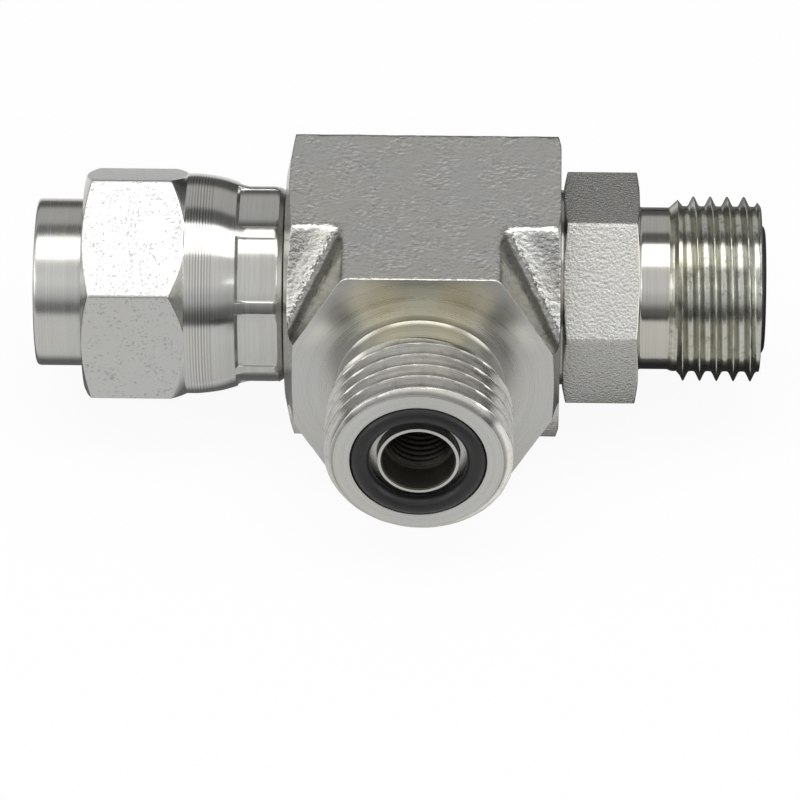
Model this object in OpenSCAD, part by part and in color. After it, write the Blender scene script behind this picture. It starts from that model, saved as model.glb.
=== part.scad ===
// Shuttle valve in a forged run tee with flat face O-ring ends.
// Millimetres. X runs along the tee towards the screwed-in adapter, the branch points to -Y, Z is up.
// The origin is on the bottom wrench flat, straight below the crossing of the run and branch axes.

/* [Forged body] */
// Across the flats of the two crossed hexagons
body_af = 25.1; // [24:0.1:28]
// From the branch axis to each machined run end
body_half = 12.9; // [12:0.1:15]
// From the run axis to the turned front face
body_front = 15.2; // [14.9:0.1:17]
// Diameter at which the cone of the left run end starts
left_cone_d = 21.6; // [20:0.1:24]
// Diameter at which the cone of the right run end starts
right_cone_d = 23.6; // [21:0.1:25]
// Slope of both end cones from the end face
end_cone_angle = 12; // [5:1:20]

/* [Flat face male ends] */
// Outside diameter of the port threads, 11/16 inch nominal
port_thread_d = 17.45; // [17.2:0.05:17.6]
// Pitch of the port threads, 16 per inch
port_pitch = 1.5875; // [1.5:0.0125:1.6]
// Depth of the port threads
port_thread_depth = 0.92; // [0.7:0.02:0.98]
// Number of full thread crests
port_crests = 5; // [3:1:5]
// From the sealing face back to the middle of the first crest
port_first_crest = 1.1; // [0.9:0.05:1.3]
// Diameter of the plain neck behind the thread
port_neck_d = 15.3; // [14.8:0.1:15.6]
// Outside diameter of the sealing face
port_land_d = 15.5; // [15:0.1:15.6]
// From the turned front face to the sealing face of the branch
branch_len = 11; // [10.5:0.1:13]
// From the hexagon to the sealing face of the run adapter
run_len = 11.5; // [10.5:0.1:13]
// Bore of both male ends
port_bore_d = 6.7; // [6:0.1:6.9]

/* [Face seals] */
// Outside diameter of the seal groove
groove_d = 12.6; // [12.4:0.05:13]
// Outside diameter of the thin rim between bore and groove
rim_d = 7.55; // [7.4:0.05:7.8]
// Depth of the seal groove
groove_depth = 1.35; // [1.2:0.05:1.5]
// How far the rim stands back from the sealing face
rim_setback = 0.13; // [0.05:0.01:0.3]
// Section diameter of the face seals
face_seal_section = 1.76; // [1.6:0.02:1.8]

/* [Tail of the swivel side] */
// From the left run end to the flat sealing face of the tail
tail_len = 23.6; // [22.5:0.1:26]
// Diameter of the tail head
tail_head_d = 15.8; // [15.6:0.05:15.9]
// Length of the tail head
tail_head_len = 5; // [4.5:0.1:6]
// Diameter of the tail shank that the nut runs on
tail_shank_d = 13.2; // [12.6:0.1:13.4]
// Bore of the tail
tail_bore_d = 6.8; // [6:0.1:7.5]
// Width of the edge break on the tail head
tail_edge = 0.35; // [0.2:0.05:0.5]

/* [Swivel nut] */
// Across the flats of the nut, 13/16 inch
nut_af = 20.64; // [20.2:0.02:21]
// Length of the nut
nut_len = 18.85; // [18.5:0.05:19.5]
// Length of the nut's hexagon
nut_hex_len = 10; // [9:0.1:11]
// Turn of the nut's hexagon about the run, from a corner straight up
nut_turn = -4.4; // [-30:0.1:30]
// Slope of the corner breaks at the nut's open end
nut_front_break = 30; // [15:1:40]
// Slope of the corner breaks where the nut's hexagon meets the barrel
nut_rear_break = 38; // [15:1:40]
// Diameter of the round barrel behind the hexagon
nut_barrel_d = 20.84; // [20.2:0.02:21]
// How far the barrel is turned in where it starts under the hexagon
nut_barrel_step = 0.1; // [0.05:0.05:0.2]
// Length of the straight barrel
nut_barrel_len = 0.7; // [0.3:0.1:1.5]
// Length of the shallow foot of the taper that follows the barrel
taper_foot_len = 0.9; // [0.5:0.1:1.4]
// Height of that foot above the skirt
taper_foot_h = 0.15; // [0.05:0.05:0.3]
// Diameter of the crimped skirt
skirt_d = 18.78; // [18.4:0.02:19.2]
// Length of the crimped skirt
skirt_len = 3.5; // [3:0.1:4.2]
// Length of the rounded rear edge of the skirt
skirt_edge_len = 0.8; // [0.4:0.1:1]
// Height of the rounded rear edge of the skirt
skirt_edge_h = 0.5; // [0.2:0.1:0.6]
// Number of crimping dies that pressed the skirt
crimp_dies = 8; // [6:1:10]
// How far each die presses a facet into the skirt
crimp_depth = 0.44; // [0.1:0.02:0.5]
// How far each facet reaches into the taper
crimp_reach = 0.8; // [0.1:0.1:1.2]
// How far each facet ends in front of the rear end
crimp_stop = 0.5; // [0.3:0.05:0.8]
// Turn of the first die facet about the run, from straight down
crimp_turn = -1.3; // [-22:0.1:22]
// Bore of the crimped skirt
skirt_bore_d = 14.2; // [13.8:0.1:14.6]
// Inner thread: smallest diameter
nut_minor_d = 16.1; // [16:0.05:16.3]
// Inner thread: largest diameter
nut_major_d = 17.6; // [17.5:0.05:17.8]
// Number of inner thread grooves
nut_grooves = 5; // [3:1:5]
// From the open end to the middle of the first thread groove
nut_first_groove = 1.75; // [1.6:0.05:1.9]
// Diameter of the countersink at the open end
nut_mouth_d = 17.8; // [17.6:0.1:18.4]
// Length of that countersink
nut_mouth_len = 0.9; // [0.6:0.1:1]
// Diameter of the relief behind the inner thread
nut_relief_d = 17.7; // [17.6:0.05:17.9]
// Length of the cone that the crimping leaves inside the nut
nut_cone_len = 3.2; // [2.5:0.1:3.6]
// Length of the skirt's inner bore from the rear end
skirt_bore_len = 3.55; // [3.2:0.05:4]
// Gap between the nut pushed fully back and the body
nut_rest_gap = 0.15; // [0.1:0.05:0.4]
// Outside diameter of the split thrust ring
thrust_ring_d = 15.8; // [15.6:0.1:15.9]
// Gap in the split thrust ring
thrust_ring_split = 1.6; // [1:0.1:3]

/* [Run adapter] */
// Across the flats of the adapter's hexagon, 3/4 inch
adapter_af = 19.05; // [18.6:0.05:20]
// Length of the adapter's hexagon
adapter_hex_len = 7.1; // [6:0.1:9]
// Height of the round bearing face under the hexagon
bearing_face_h = 0.3; // [0.2:0.05:0.6]
// Diameter of the round bearing face
bearing_face_d = 18.4; // [17:0.1:18.6]
// Turn of the adapter's hexagon about the run, from a corner straight up
adapter_turn = 19.2; // [-30:0.1:30]
// Slope of the corner breaks of the adapter's hexagon
adapter_break = 16; // [10:1:40]
// Outside diameter of the stud thread, 9/16 inch nominal
stud_thread_d = 14.2; // [14:0.05:14.3]
// Pitch of the stud thread, 18 per inch
stud_pitch = 1.411; // [1.3:0.001:1.5]
// Depth of the stud thread
stud_thread_depth = 0.75; // [0.6:0.05:0.85]
// Number of stud thread crests
stud_crests = 4; // [3:1:4]
// From the stud's end to the middle of its first crest
stud_first_crest = 0.9; // [0.85:0.05:1.1]
// Width of the edge breaks on the stud
stud_edge = 0.3; // [0.1:0.05:0.35]
// Length of the stud inside the body
stud_len = 8.6; // [8.2:0.1:9.2]
// Diameter of the plain undercut behind the stud thread
undercut_d = 12; // [11.6:0.1:12.3]
// Section diameter of the stud seal
stud_seal_section = 1.7; // [1.5:0.05:1.8]
// Diameter of the seal recess in the body
seal_recess_d = 15.6; // [15.5:0.1:16]
// Length of the cone from the seal recess to the body's thread
recess_cone = 0.8; // [0.6:0.1:0.9]

/* [Shuttle cartridge] */
// Bore of the body that holds the seats and the cage
cartridge_bore_d = 12.7; // [12.5:0.05:12.75]
// Length of each seat
seat_len = 3.2; // [3:0.1:3.6]
// Hole through each seat
seat_hole_d = 4.6; // [4:0.1:5]
// Section diameter of the seat seals
seat_seal_section = 1; // [0.9:0.05:1.1]
// Room beside each seat seal in its groove
seat_seal_room = 0.1; // [0.05:0.05:0.2]
// Length of the ball cage
cage_len = 6.9; // [6.6:0.1:7.2]
// Outside diameter of the cage between its flanges
cage_d = 9.4; // [9:0.1:10]
// Thickness of each cage flange
cage_flange = 0.8; // [0.6:0.1:1]
// Number of windows in the cage
cage_windows = 6; // [4:1:7]
// Diameter of each cage window
cage_window_d = 2.6; // [2:0.1:3]
// Diameter of the shuttle ball, 1/4 inch
ball_d = 6.35; // [6:0.05:6.5]

/* [Branch orifice] */
// Depth of the plain bore in front of the orifice thread
orifice_step = 3.1; // [2.5:0.1:4]
// Outside diameter of the orifice thread
orifice_thread_d = 6; // [5.8:0.05:6.1]
// Pitch of the orifice thread
orifice_pitch = 0.75; // [0.7:0.01:0.8]
// Depth of the orifice thread
orifice_thread_depth = 0.36; // [0.3:0.02:0.4]
// Number of grooves of the orifice thread in the branch
orifice_grooves = 14; // [12:1:15]
// Run-out of the orifice thread at each end
orifice_lead = 0.6; // [0.5:0.05:0.8]
// First groove that the orifice screw fills, counted from the face
orifice_first = 8; // [7:1:8]
// Number of crests on the orifice screw
orifice_crests = 6; // [4:1:6]
// Width of the edge breaks on the orifice screw
orifice_edge = 0.2; // [0.1:0.05:0.3]
// Across the flats of the screw's hexagon socket
socket_af = 3; // [2.5:0.1:3.1]
// Depth of the hexagon socket
socket_depth = 2; // [1.5:0.1:2.4]
// Diameter of the metering hole
orifice_d = 1.2; // [0.6:0.1:2]

/* [Fits] */
// Radial clearance of the male threads in the body's own threads
thread_clearance = 0.06; // [0.04:0.01:0.1]
// Radial clearance of seats, cage and ball
slide_clearance = 0.05; // [0.03:0.01:0.08]
// Clearance around each rubber seal
seal_clearance = 0.02; // [0.01:0.01:0.04]
// Gap between the ball and the seat that it closes
seat_clearance = 0.03; // [0.02:0.01:0.05]
// Axial gap between the nut's cone and the thrust ring
cone_clearance = 0.2; // [0.1:0.05:0.3]
// Radial gap between the thrust ring and the shank
ring_clearance = 0.15; // [0.1:0.05:0.3]
// Step of the thrust ring at both ends of the nut's cone
ring_step = 0.1; // [0.05:0.05:0.2]

/* [Hidden] */

// Smoothness of the round surfaces, and of the seals' sections
$fn = 96;
seal_fn = 48;
// Small overshoot that keeps cuts clean, and the length by which cuts run past a face
eps = 0.01;
past = 1;
// Thread form: axial for radial run of a 60 degree flank, and the share of the pitch that a crest is wide
flank_slope = tan(30);
crest_share = 1 / 8;
// Colours of the bare metals and of the seals
forged_colour = [0.6, 0.61, 0.6];
nut_colour = [0.72, 0.72, 0.7];
adapter_colour = [0.62, 0.62, 0.6];
seat_colour = [0.8, 0.78, 0.7];
seal_colour = [0.06, 0.06, 0.06];

// Height of both axes above the bottom flat
axis_z = body_af / 2;
// Stations on the run, measured from the branch axis
tail_face_x = -(body_half + tail_len);
head_back_x = tail_face_x + tail_head_len;
nut_back_x = -(body_half + nut_rest_gap);
nut_front_x = nut_back_x - nut_len;
nut_hex_back_x = nut_front_x + nut_hex_len;
skirt_x = nut_back_x - skirt_len;
nut_thread_end_x = nut_front_x + nut_first_groove + nut_grooves * port_pitch;
nut_cone_back_x = nut_back_x - skirt_bore_len;
nut_cone_front_x = nut_cone_back_x - nut_cone_len;
thrust_ring_x = nut_cone_front_x + ring_step;
adapter_hex_x = body_half + bearing_face_h;
adapter_neck_x = adapter_hex_x + adapter_hex_len;
run_face_x = adapter_neck_x + run_len;
recess_x = body_half - stud_seal_section - 2 * seal_clearance;
undercut_x = recess_x - recess_cone;
stud_end_x = body_half - stud_len;
stud_first_x = stud_end_x + stud_first_crest;
right_seat_x = stud_end_x - seat_len;
cage_x = right_seat_x - cage_len;
left_seat_x = cage_x - seat_len;
// Distance from a seat's edge to the middle of the ball that closes it
ball_stand_off = sqrt(ball_d * ball_d - seat_hole_d * seat_hole_d) / 2 + seat_clearance;
// Stations on the branch, measured from the run axis
branch_face_y = body_front + branch_len;
orifice_step_y = branch_face_y - orifice_step;
orifice_last_y = orifice_step_y - orifice_lead - (orifice_grooves - 1) * orifice_pitch;
// Root radius of the stud, and of the body's threads for the stud and the orifice screw
stud_minor_r = stud_thread_d / 2 - stud_thread_depth;
stud_root_r = stud_minor_r + thread_clearance;
orifice_minor_r = orifice_thread_d / 2 - orifice_thread_depth;
orifice_root_r = orifice_minor_r + thread_clearance;
// Outside radius of the seats and the cage, and middle radius of the seat seals
cartridge_r = cartridge_bore_d / 2 - slide_clearance;
seat_seal_r = cartridge_bore_d / 2 - seat_seal_section / 2 - seal_clearance;

// Places a shape drawn around +Z so that its +Z lies along the run
module on_run() {
    translate([0, 0, axis_z]) rotate([0, 90, 0]) children();
}

// Places a shape drawn around +Z so that its +Z lies along the branch, towards its port
module on_branch() {
    translate([0, 0, axis_z]) rotate([90, 0, 0]) children();
}

// Solid of revolution from points [radius, station]
module turned(points) {
    rotate_extrude() polygon(points);
}

// Outline of raised crests: count crests from the middle station first, spaced by pitch
function crests(root_r, crest_r, pitch, first, count) = [
    for (i = [0 : count - 1])
        let (mid = first + i * pitch,
             half_crest = pitch * crest_share / 2,
             half_foot = half_crest + (crest_r - root_r) * flank_slope)
        each [[root_r, mid - half_foot], [crest_r, mid - half_crest],
              [crest_r, mid + half_crest], [root_r, mid + half_foot]]
];

// Corner radius of a hexagon from its size across the flats
function corner_r(af) = af / 2 / cos(30);

// Regular hexagonal bar along +Z with two flats facing the Y directions, turned by angle
module hex_bar(af, low, high, angle = 0) {
    translate([0, 0, low]) rotate(angle) cylinder(h = high - low, r = corner_r(af), $fn = 6);
}

// How far a corner break of the given slope runs along a hexagonal bar
function break_len(af, slope_angle) = (corner_r(af) + eps - af / 2) * tan(slope_angle);

// Round limit that breaks the corners of a hexagonal bar at both ends
module corner_break(af, low, high, low_slope, high_slope) {
    flat_r = af / 2;
    rim_r = corner_r(af) + eps;
    turned([[0, low], [flat_r, low], [rim_r, low + break_len(af, low_slope)],
            [rim_r, high - break_len(af, high_slope)], [flat_r, high], [0, high]]);
}

// Male flat face end from the shoulder at station base to the sealing face, with its groove
module flat_face_end(base, face) {
    root_r = port_thread_d / 2 - port_thread_depth;
    first = face - port_first_crest - (port_crests - 1) * port_pitch;
    foot = port_pitch * crest_share / 2 + port_thread_depth * flank_slope;
    difference() {
        turned(concat([[0, base], [port_neck_d / 2, base], [port_neck_d / 2, first - foot - eps]],
                      crests(root_r, port_thread_d / 2, port_pitch, first, port_crests),
                      [[port_land_d / 2, face], [0, face]]));
        turned([[rim_d / 2, face - groove_depth], [groove_d / 2, face - groove_depth],
                [groove_d / 2, face + past], [rim_d / 2, face + past]]);
        translate([0, 0, face - rim_setback]) cylinder(h = past, d = (rim_d + groove_d) / 2);
    }
}

// Rubber ring of circular section
module rubber_ring(middle_r, section, station) {
    color(seal_colour) translate([0, 0, station])
        rotate_extrude() translate([middle_r, 0]) circle(d = section, $fn = seal_fn);
}

// Face seal that lies on the floor of the groove, against its outer wall
module face_seal(face) {
    rubber_ring(groove_d / 2 - face_seal_section / 2 - seal_clearance, face_seal_section,
                face - groove_depth + face_seal_section / 2 + seal_clearance);
}

// The two crossed forged hexagons with their turned ends
module forging() {
    slope = tan(end_cone_angle);
    reach = corner_r(body_af) + body_front;
    left_r = left_cone_d / 2;
    right_r = right_cone_d / 2;
    intersection() {
        union() {
            on_run() hex_bar(body_af, -body_half, body_half, 90);
            on_branch() hex_bar(body_af, 0, body_front);
        }
        on_run() turned([[0, -body_half], [left_r, -body_half],
                         [reach, -body_half + (reach - left_r) * slope],
                         [reach, body_half - (reach - right_r) * slope],
                         [right_r, body_half], [0, body_half]]);
    }
}

module tee_body() {
    color(forged_colour) difference() {
        union() {
            forging();
            on_run() turned([[0, tail_face_x], [tail_head_d / 2 - tail_edge, tail_face_x],
                             [tail_head_d / 2, tail_face_x + tail_edge], [tail_head_d / 2, head_back_x],
                             [tail_shank_d / 2, head_back_x], [tail_shank_d / 2, past - body_half],
                             [0, past - body_half]]);
            on_branch() flat_face_end(body_front - eps, branch_face_y);
        }
        // bore of the tail and pocket of the cartridge
        on_run() translate([0, 0, tail_face_x - past])
            cylinder(h = past - tail_face_x, d = tail_bore_d);
        on_run() translate([0, 0, left_seat_x])
            cylinder(h = body_half - left_seat_x + past, d = cartridge_bore_d);
        // threaded port for the adapter, with the recess of its seal
        on_run() turned(concat([[0, stud_end_x - past], [stud_root_r, stud_end_x - past]],
                               crests(stud_root_r, stud_thread_d / 2 + thread_clearance, stud_pitch,
                                      stud_first_x, stud_crests),
                               [[stud_root_r, undercut_x],
                                [seal_recess_d / 2, recess_x], [seal_recess_d / 2, body_half + past],
                                [0, body_half + past]]));
        // branch bore with the thread of the orifice screw
        on_branch() turned(concat([[0, 0], [orifice_root_r, 0]],
                                  crests(orifice_root_r, orifice_thread_d / 2 + thread_clearance,
                                         orifice_pitch, orifice_last_y, orifice_grooves),
                                  [[orifice_root_r, orifice_step_y],
                                   [port_bore_d / 2, orifice_step_y],
                                   [port_bore_d / 2, branch_face_y + past], [0, branch_face_y + past]]));
    }
}

// Outside of the nut: hexagon, barrel, taper and skirt
module nut_outside() {
    barrel_x = nut_hex_back_x - break_len(nut_af, nut_rear_break);
    barrel_r = nut_barrel_d / 2;
    skirt_r = skirt_d / 2;
    intersection() {
        hex_bar(nut_af, nut_front_x, nut_hex_back_x, nut_turn);
        corner_break(nut_af, nut_front_x, nut_hex_back_x, nut_front_break, nut_rear_break);
    }
    turned([[0, barrel_x], [barrel_r - nut_barrel_step, barrel_x], [barrel_r, nut_hex_back_x],
            [barrel_r, nut_hex_back_x + nut_barrel_len],
            [skirt_r + taper_foot_h, skirt_x - taper_foot_len], [skirt_r, skirt_x],
            [skirt_r, nut_back_x - skirt_edge_len], [skirt_r - skirt_edge_h, nut_back_x],
            [0, nut_back_x]]);
}

module swivel_nut() {
    minor_r = nut_minor_d / 2;
    mouth_slope = (nut_mouth_d / 2 - minor_r) / nut_mouth_len;
    facet_x = skirt_x - crimp_reach;
    color(nut_colour) on_run() difference() {
        nut_outside();
        // facets that the crimping dies leave
        for (i = [0 : crimp_dies - 1])
            rotate(crimp_turn + i * 360 / crimp_dies)
                translate([skirt_d / 2 - crimp_depth, -nut_barrel_d / 2, facet_x])
                    cube([nut_barrel_d, nut_barrel_d, nut_back_x - crimp_stop - facet_x]);
        // countersink, inner thread, relief, crimped cone and skirt bore
        turned(concat([[0, nut_front_x - past], [nut_mouth_d / 2 + past * mouth_slope, nut_front_x - past],
                       [minor_r, nut_front_x + nut_mouth_len]],
                      crests(minor_r, nut_major_d / 2, port_pitch, nut_front_x + nut_first_groove,
                             nut_grooves),
                      [[nut_relief_d / 2, nut_thread_end_x], [nut_relief_d / 2, nut_cone_front_x],
                       [skirt_bore_d / 2, nut_cone_back_x], [skirt_bore_d / 2, nut_back_x + past],
                       [0, nut_back_x + past]]));
    }
}

module thrust_ring() {
    outer_r = thrust_ring_d / 2;
    inner_r = tail_shank_d / 2 + ring_clearance;
    rear_r = skirt_bore_d / 2 + ring_step;
    cone_slope = nut_cone_len / (nut_relief_d - skirt_bore_d) * 2;
    cone_at_rim = nut_cone_back_x - (outer_r - skirt_bore_d / 2) * cone_slope - cone_clearance;
    cone_at_rear = nut_cone_back_x - (rear_r - skirt_bore_d / 2) * cone_slope - cone_clearance;
    color("dimgray") on_run() difference() {
        turned([[inner_r, thrust_ring_x], [outer_r, thrust_ring_x], [outer_r, cone_at_rim],
                [rear_r, cone_at_rear], [inner_r, cone_at_rear]]);
        translate([0, -thrust_ring_split / 2, thrust_ring_x - past])
            cube([thrust_ring_d, thrust_ring_split, nut_cone_len + 2 * past]);
    }
}

module run_adapter() {
    bore_len = run_face_x - stud_end_x + 2 * past;
    color(adapter_colour) on_run() difference() {
        union() {
            intersection() {
                hex_bar(adapter_af, adapter_hex_x, adapter_neck_x, adapter_turn);
                corner_break(adapter_af, adapter_hex_x, adapter_neck_x, adapter_break, adapter_break);
            }
            turned(concat([[0, stud_end_x], [stud_minor_r - stud_edge, stud_end_x],
                           [stud_minor_r, stud_end_x + stud_edge]],
                          crests(stud_minor_r, stud_thread_d / 2, stud_pitch, stud_first_x, stud_crests),
                          [[stud_minor_r, undercut_x], [undercut_d / 2, undercut_x + stud_edge],
                           [undercut_d / 2, body_half], [bearing_face_d / 2, body_half],
                           [bearing_face_d / 2, adapter_hex_x + past], [0, adapter_hex_x + past]]));
            flat_face_end(adapter_neck_x - eps, run_face_x);
        }
        translate([0, 0, stud_end_x - past]) cylinder(h = bore_len, d = port_bore_d);
    }
}

module branch_face_seal() {
    on_branch() face_seal(branch_face_y);
}

module run_face_seal() {
    on_run() face_seal(run_face_x);
}

module adapter_stud_seal() {
    on_run() rubber_ring(undercut_d / 2 + stud_seal_section / 2 + seal_clearance, stud_seal_section,
                         body_half - stud_seal_section / 2 - seal_clearance);
}

// Seat from station low, with its seal groove half way along
module seat(low) {
    groove_half = seat_seal_section / 2 + seat_seal_room;
    groove_r = seat_seal_r - seat_seal_section / 2 - seal_clearance;
    middle = low + seat_len / 2;
    color(seat_colour) on_run() difference() {
        turned([[seat_hole_d / 2, low], [cartridge_r, low],
                [cartridge_r, low + seat_len], [seat_hole_d / 2, low + seat_len]]);
        turned([[groove_r, middle - groove_half], [cartridge_r + past, middle - groove_half],
                [cartridge_r + past, middle + groove_half], [groove_r, middle + groove_half]]);
    }
}

// Seal in the groove of the seat that starts at station low
module seat_seal(low) {
    on_run() rubber_ring(seat_seal_r, seat_seal_section, low + seat_len / 2);
}

module left_seat() {
    seat(left_seat_x);
}

module right_seat() {
    seat(right_seat_x);
}

module left_seat_seal() {
    seat_seal(left_seat_x);
}

module right_seat_seal() {
    seat_seal(right_seat_x);
}

module ball_cage() {
    inner_r = ball_d / 2 + slide_clearance;
    back = cage_x + cage_len;
    color("darkkhaki") on_run() difference() {
        turned([[inner_r, cage_x], [cartridge_r, cage_x], [cartridge_r, cage_x + cage_flange],
                [cage_d / 2, cage_x + cage_flange], [cage_d / 2, back - cage_flange],
                [cartridge_r, back - cage_flange], [cartridge_r, back], [inner_r, back]]);
        for (i = [0 : cage_windows - 1])
            translate([0, 0, cage_x + cage_len / 2]) rotate(i * 360 / cage_windows) rotate([0, 90, 0])
                cylinder(h = cage_d, d = cage_window_d);
    }
}

module shuttle_ball() {
    color("gainsboro") on_run() translate([0, 0, cage_x + ball_stand_off]) sphere(d = ball_d);
}

module orifice_screw() {
    low = orifice_last_y + (orifice_grooves - orifice_first - orifice_crests) * orifice_pitch;
    start = low - orifice_lead;
    top = low + (orifice_crests - 1) * orifice_pitch + orifice_lead;
    end_r = orifice_minor_r - orifice_edge;
    color("darkslategray") on_branch() difference() {
        turned(concat([[0, start], [end_r, start], [orifice_minor_r, start + orifice_edge]],
                      crests(orifice_minor_r, orifice_thread_d / 2, orifice_pitch, low, orifice_crests),
                      [[orifice_minor_r, top - orifice_edge], [end_r, top], [0, top]]));
        translate([0, 0, start - past]) cylinder(h = top - start + 2 * past, d = orifice_d);
        hex_bar(socket_af, top - socket_depth, top + past);
    }
}

tee_body();
swivel_nut();
thrust_ring();
run_adapter();
branch_face_seal();
run_face_seal();
adapter_stud_seal();
left_seat();
right_seat();
left_seat_seal();
right_seat_seal();
ball_cage();
shuttle_ball();
orifice_screw();
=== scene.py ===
# Looks of the shuttle valve tee: forged and blasted zinc skin, turned surfaces, real helical threads.
# Metres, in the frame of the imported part. The settings give lengths in millimetres, unless they say metres.
import math

import bpy
import numpy as np
from mathutils import Matrix, Vector


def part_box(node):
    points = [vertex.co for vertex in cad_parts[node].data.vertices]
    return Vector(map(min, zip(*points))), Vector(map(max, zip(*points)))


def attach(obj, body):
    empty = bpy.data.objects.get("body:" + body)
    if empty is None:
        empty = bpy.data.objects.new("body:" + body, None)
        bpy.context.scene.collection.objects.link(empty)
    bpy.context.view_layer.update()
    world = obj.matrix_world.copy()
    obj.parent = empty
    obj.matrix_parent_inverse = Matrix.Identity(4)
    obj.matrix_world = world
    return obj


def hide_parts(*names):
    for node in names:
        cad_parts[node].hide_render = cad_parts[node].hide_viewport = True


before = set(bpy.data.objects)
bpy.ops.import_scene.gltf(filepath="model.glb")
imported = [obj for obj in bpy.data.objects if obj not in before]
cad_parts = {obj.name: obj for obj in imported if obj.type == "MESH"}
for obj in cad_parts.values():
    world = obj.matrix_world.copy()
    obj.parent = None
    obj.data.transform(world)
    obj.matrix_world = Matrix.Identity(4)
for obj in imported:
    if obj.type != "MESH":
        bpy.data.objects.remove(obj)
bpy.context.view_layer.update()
mm = 0.001
turn = 2 * math.pi


# Places read from the frame, in millimetres: x along the run, y along the branch, z up
def reach(node, axis):
    low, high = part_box(node)
    return low[axis] / mm, high[axis] / mm


tailFace, bodyEnd = reach("tee_body", 0)
branchFace = -reach("tee_body", 1)[0]
axisHeight = reach("tee_body", 2)[1] / 2
axisZ = axisHeight * mm
nutFront, nutBack = reach("swivel_nut", 0)
studEnd, runFace = reach("run_adapter", 0)

# Turned pieces are drawn around +Z, with their station along it, and then laid on the run or the branch.
ontoRun = Matrix.Translation((0, 0, axisZ)) @ Matrix.Rotation(math.pi / 2, 4, "Y")
ontoBranch = Matrix.Translation((0, 0, axisZ)) @ Matrix.Rotation(math.pi / 2, 4, "X")


# A wire is one output of a node, in a geometry or a shader tree, and arithmetic on wires makes math nodes.
class Wire:
    def __init__(self, node, output=0):
        self.node = node
        self.output = output

    def __add__(self, other):
        return calc("ADD", self, other)

    def __sub__(self, other):
        return calc("SUBTRACT", self, other)

    def __mul__(self, other):
        return calc("MULTIPLY", self, other)

    def __truediv__(self, other):
        return calc("DIVIDE", self, other)

    def __abs__(self):
        return calc("ABSOLUTE", self)

    __radd__ = __add__


# The tree that the wires among the values belong to
def treeOf(*values):
    return next(value.node.id_data for value in values if isinstance(value, Wire))


def feed(socket, value):
    if isinstance(value, Wire):
        socket.id_data.links.new(value.node.outputs[value.output], socket)
    else:
        socket.default_value = value


def addNode(tree, kind, inputs=None, **settings):
    node = tree.nodes.new(kind)
    for name, value in settings.items():
        setattr(node, name, value)
    for name, value in (inputs or {}).items():
        feed(node.inputs[name], value)
    return node


def calc(operation, *values, kind="ShaderNodeMath"):
    return Wire(addNode(treeOf(*values), kind, dict(enumerate(values)), operation=operation))


def vectorCalc(operation, *values):
    return calc(operation, *values, kind="ShaderNodeVectorMath")


# A place in metres as millimetres, times the factor
def inMillimetres(place, factor=1.0):
    settings = {0: place, "Scale": factor / mm}
    return Wire(addNode(treeOf(place), "ShaderNodeVectorMath", settings, operation="SCALE"))


def remap(value, fromLow, fromHigh, toLow=0.0, toHigh=1.0, kind="SMOOTHSTEP"):
    values = (value, fromLow, fromHigh, toLow, toHigh)
    node = addNode(treeOf(*values), "ShaderNodeMapRange", dict(enumerate(values)), interpolation_type=kind)
    return Wire(node)


# Straight from low to high as the share goes from 0 to 1
def between(share, low, high):
    return remap(share, 0.0, 1.0, low, high, "LINEAR")


# Smoothly from high where the mask is 0 to low where it is 1
def faded(mask, low, high=1.0):
    return remap(mask, 0.0, 1.0, high, low)


def hypotenuse(first, second):
    return calc("SQRT", first * first + second * second)


def split(value, kind="ShaderNodeSeparateXYZ"):
    node = addNode(treeOf(value), kind, {0: value})
    return [Wire(node, place) for place in range(3)]


def join(first, second, third, kind="ShaderNodeCombineXYZ"):
    return Wire(addNode(treeOf(first, second, third), kind, {0: first, 1: second, 2: third}))


def noise(place, scale, detail=2.0, roughness=0.5):
    settings = {"Vector": place, "Scale": scale, "Detail": detail, "Roughness": roughness}
    return Wire(addNode(treeOf(place), "ShaderNodeTexNoise", settings))


# Two colours mixed. The numbers are the places of the node's colour sockets.
def mixed(share, first, second, blend="MIX"):
    colours = {0: share, 6: first, 7: second}
    tree = treeOf(share, first, second)
    return Wire(addNode(tree, "ShaderNodeMix", colours, data_type="RGBA", blend_type=blend), 2)


# Colours that follow a value between stops, whose places are in the given unit
def ramp(value, stops, unit=1.0):
    low, high = stops[0][0], stops[-1][0]
    share = remap(value, low * unit, high * unit, kind="LINEAR")
    node = addNode(treeOf(value), "ShaderNodeValToRGB", {0: share})
    node.color_ramp.interpolation = "EASE"
    elements = node.color_ramp.elements
    for place, tone in stops[1:-1]:
        elements.new((place - low) / (high - low))
    for element, (place, tone) in zip(elements, stops):
        element.color = tone
    return Wire(node, "Color")


# Kinds of the named sockets of a group. All others are plain numbers.
socketKinds = {
    "Vector": "NodeSocketVector",
    "Grey": "NodeSocketColor",
    "Warm": "NodeSocketColor",
    "Color": "NodeSocketColor",
    "Geometry": "NodeSocketGeometry",
    "Material": "NodeSocketMaterial",
}


def newTree(name, kind, inputs, outputs):
    tree = bpy.data.node_groups.new(name, kind)
    for label, value in inputs.items():
        socketKind = socketKinds.get(label, "NodeSocketFloat")
        socket = tree.interface.new_socket(label, in_out="INPUT", socket_type=socketKind)
        if value is not None:
            socket.default_value = value
    for label in outputs:
        socketKind = socketKinds.get(label, "NodeSocketFloat")
        tree.interface.new_socket(label, in_out="OUTPUT", socket_type=socketKind)
    entry = tree.nodes.new("NodeGroupInput")
    return tree, {label: Wire(entry, label) for label in inputs}, tree.nodes.new("NodeGroupOutput").inputs


def groupNode(group, inputs):
    node = addNode(treeOf(*inputs.values()), "ShaderNodeGroup", node_tree=group)
    for label, value in inputs.items():
        feed(node.inputs[label], value)
    return {socket.name: Wire(node, socket.name) for socket in node.outputs}


def addObject(name, data):
    item = bpy.data.objects.new(name, data)
    bpy.context.scene.collection.objects.link(item)
    return item


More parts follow.
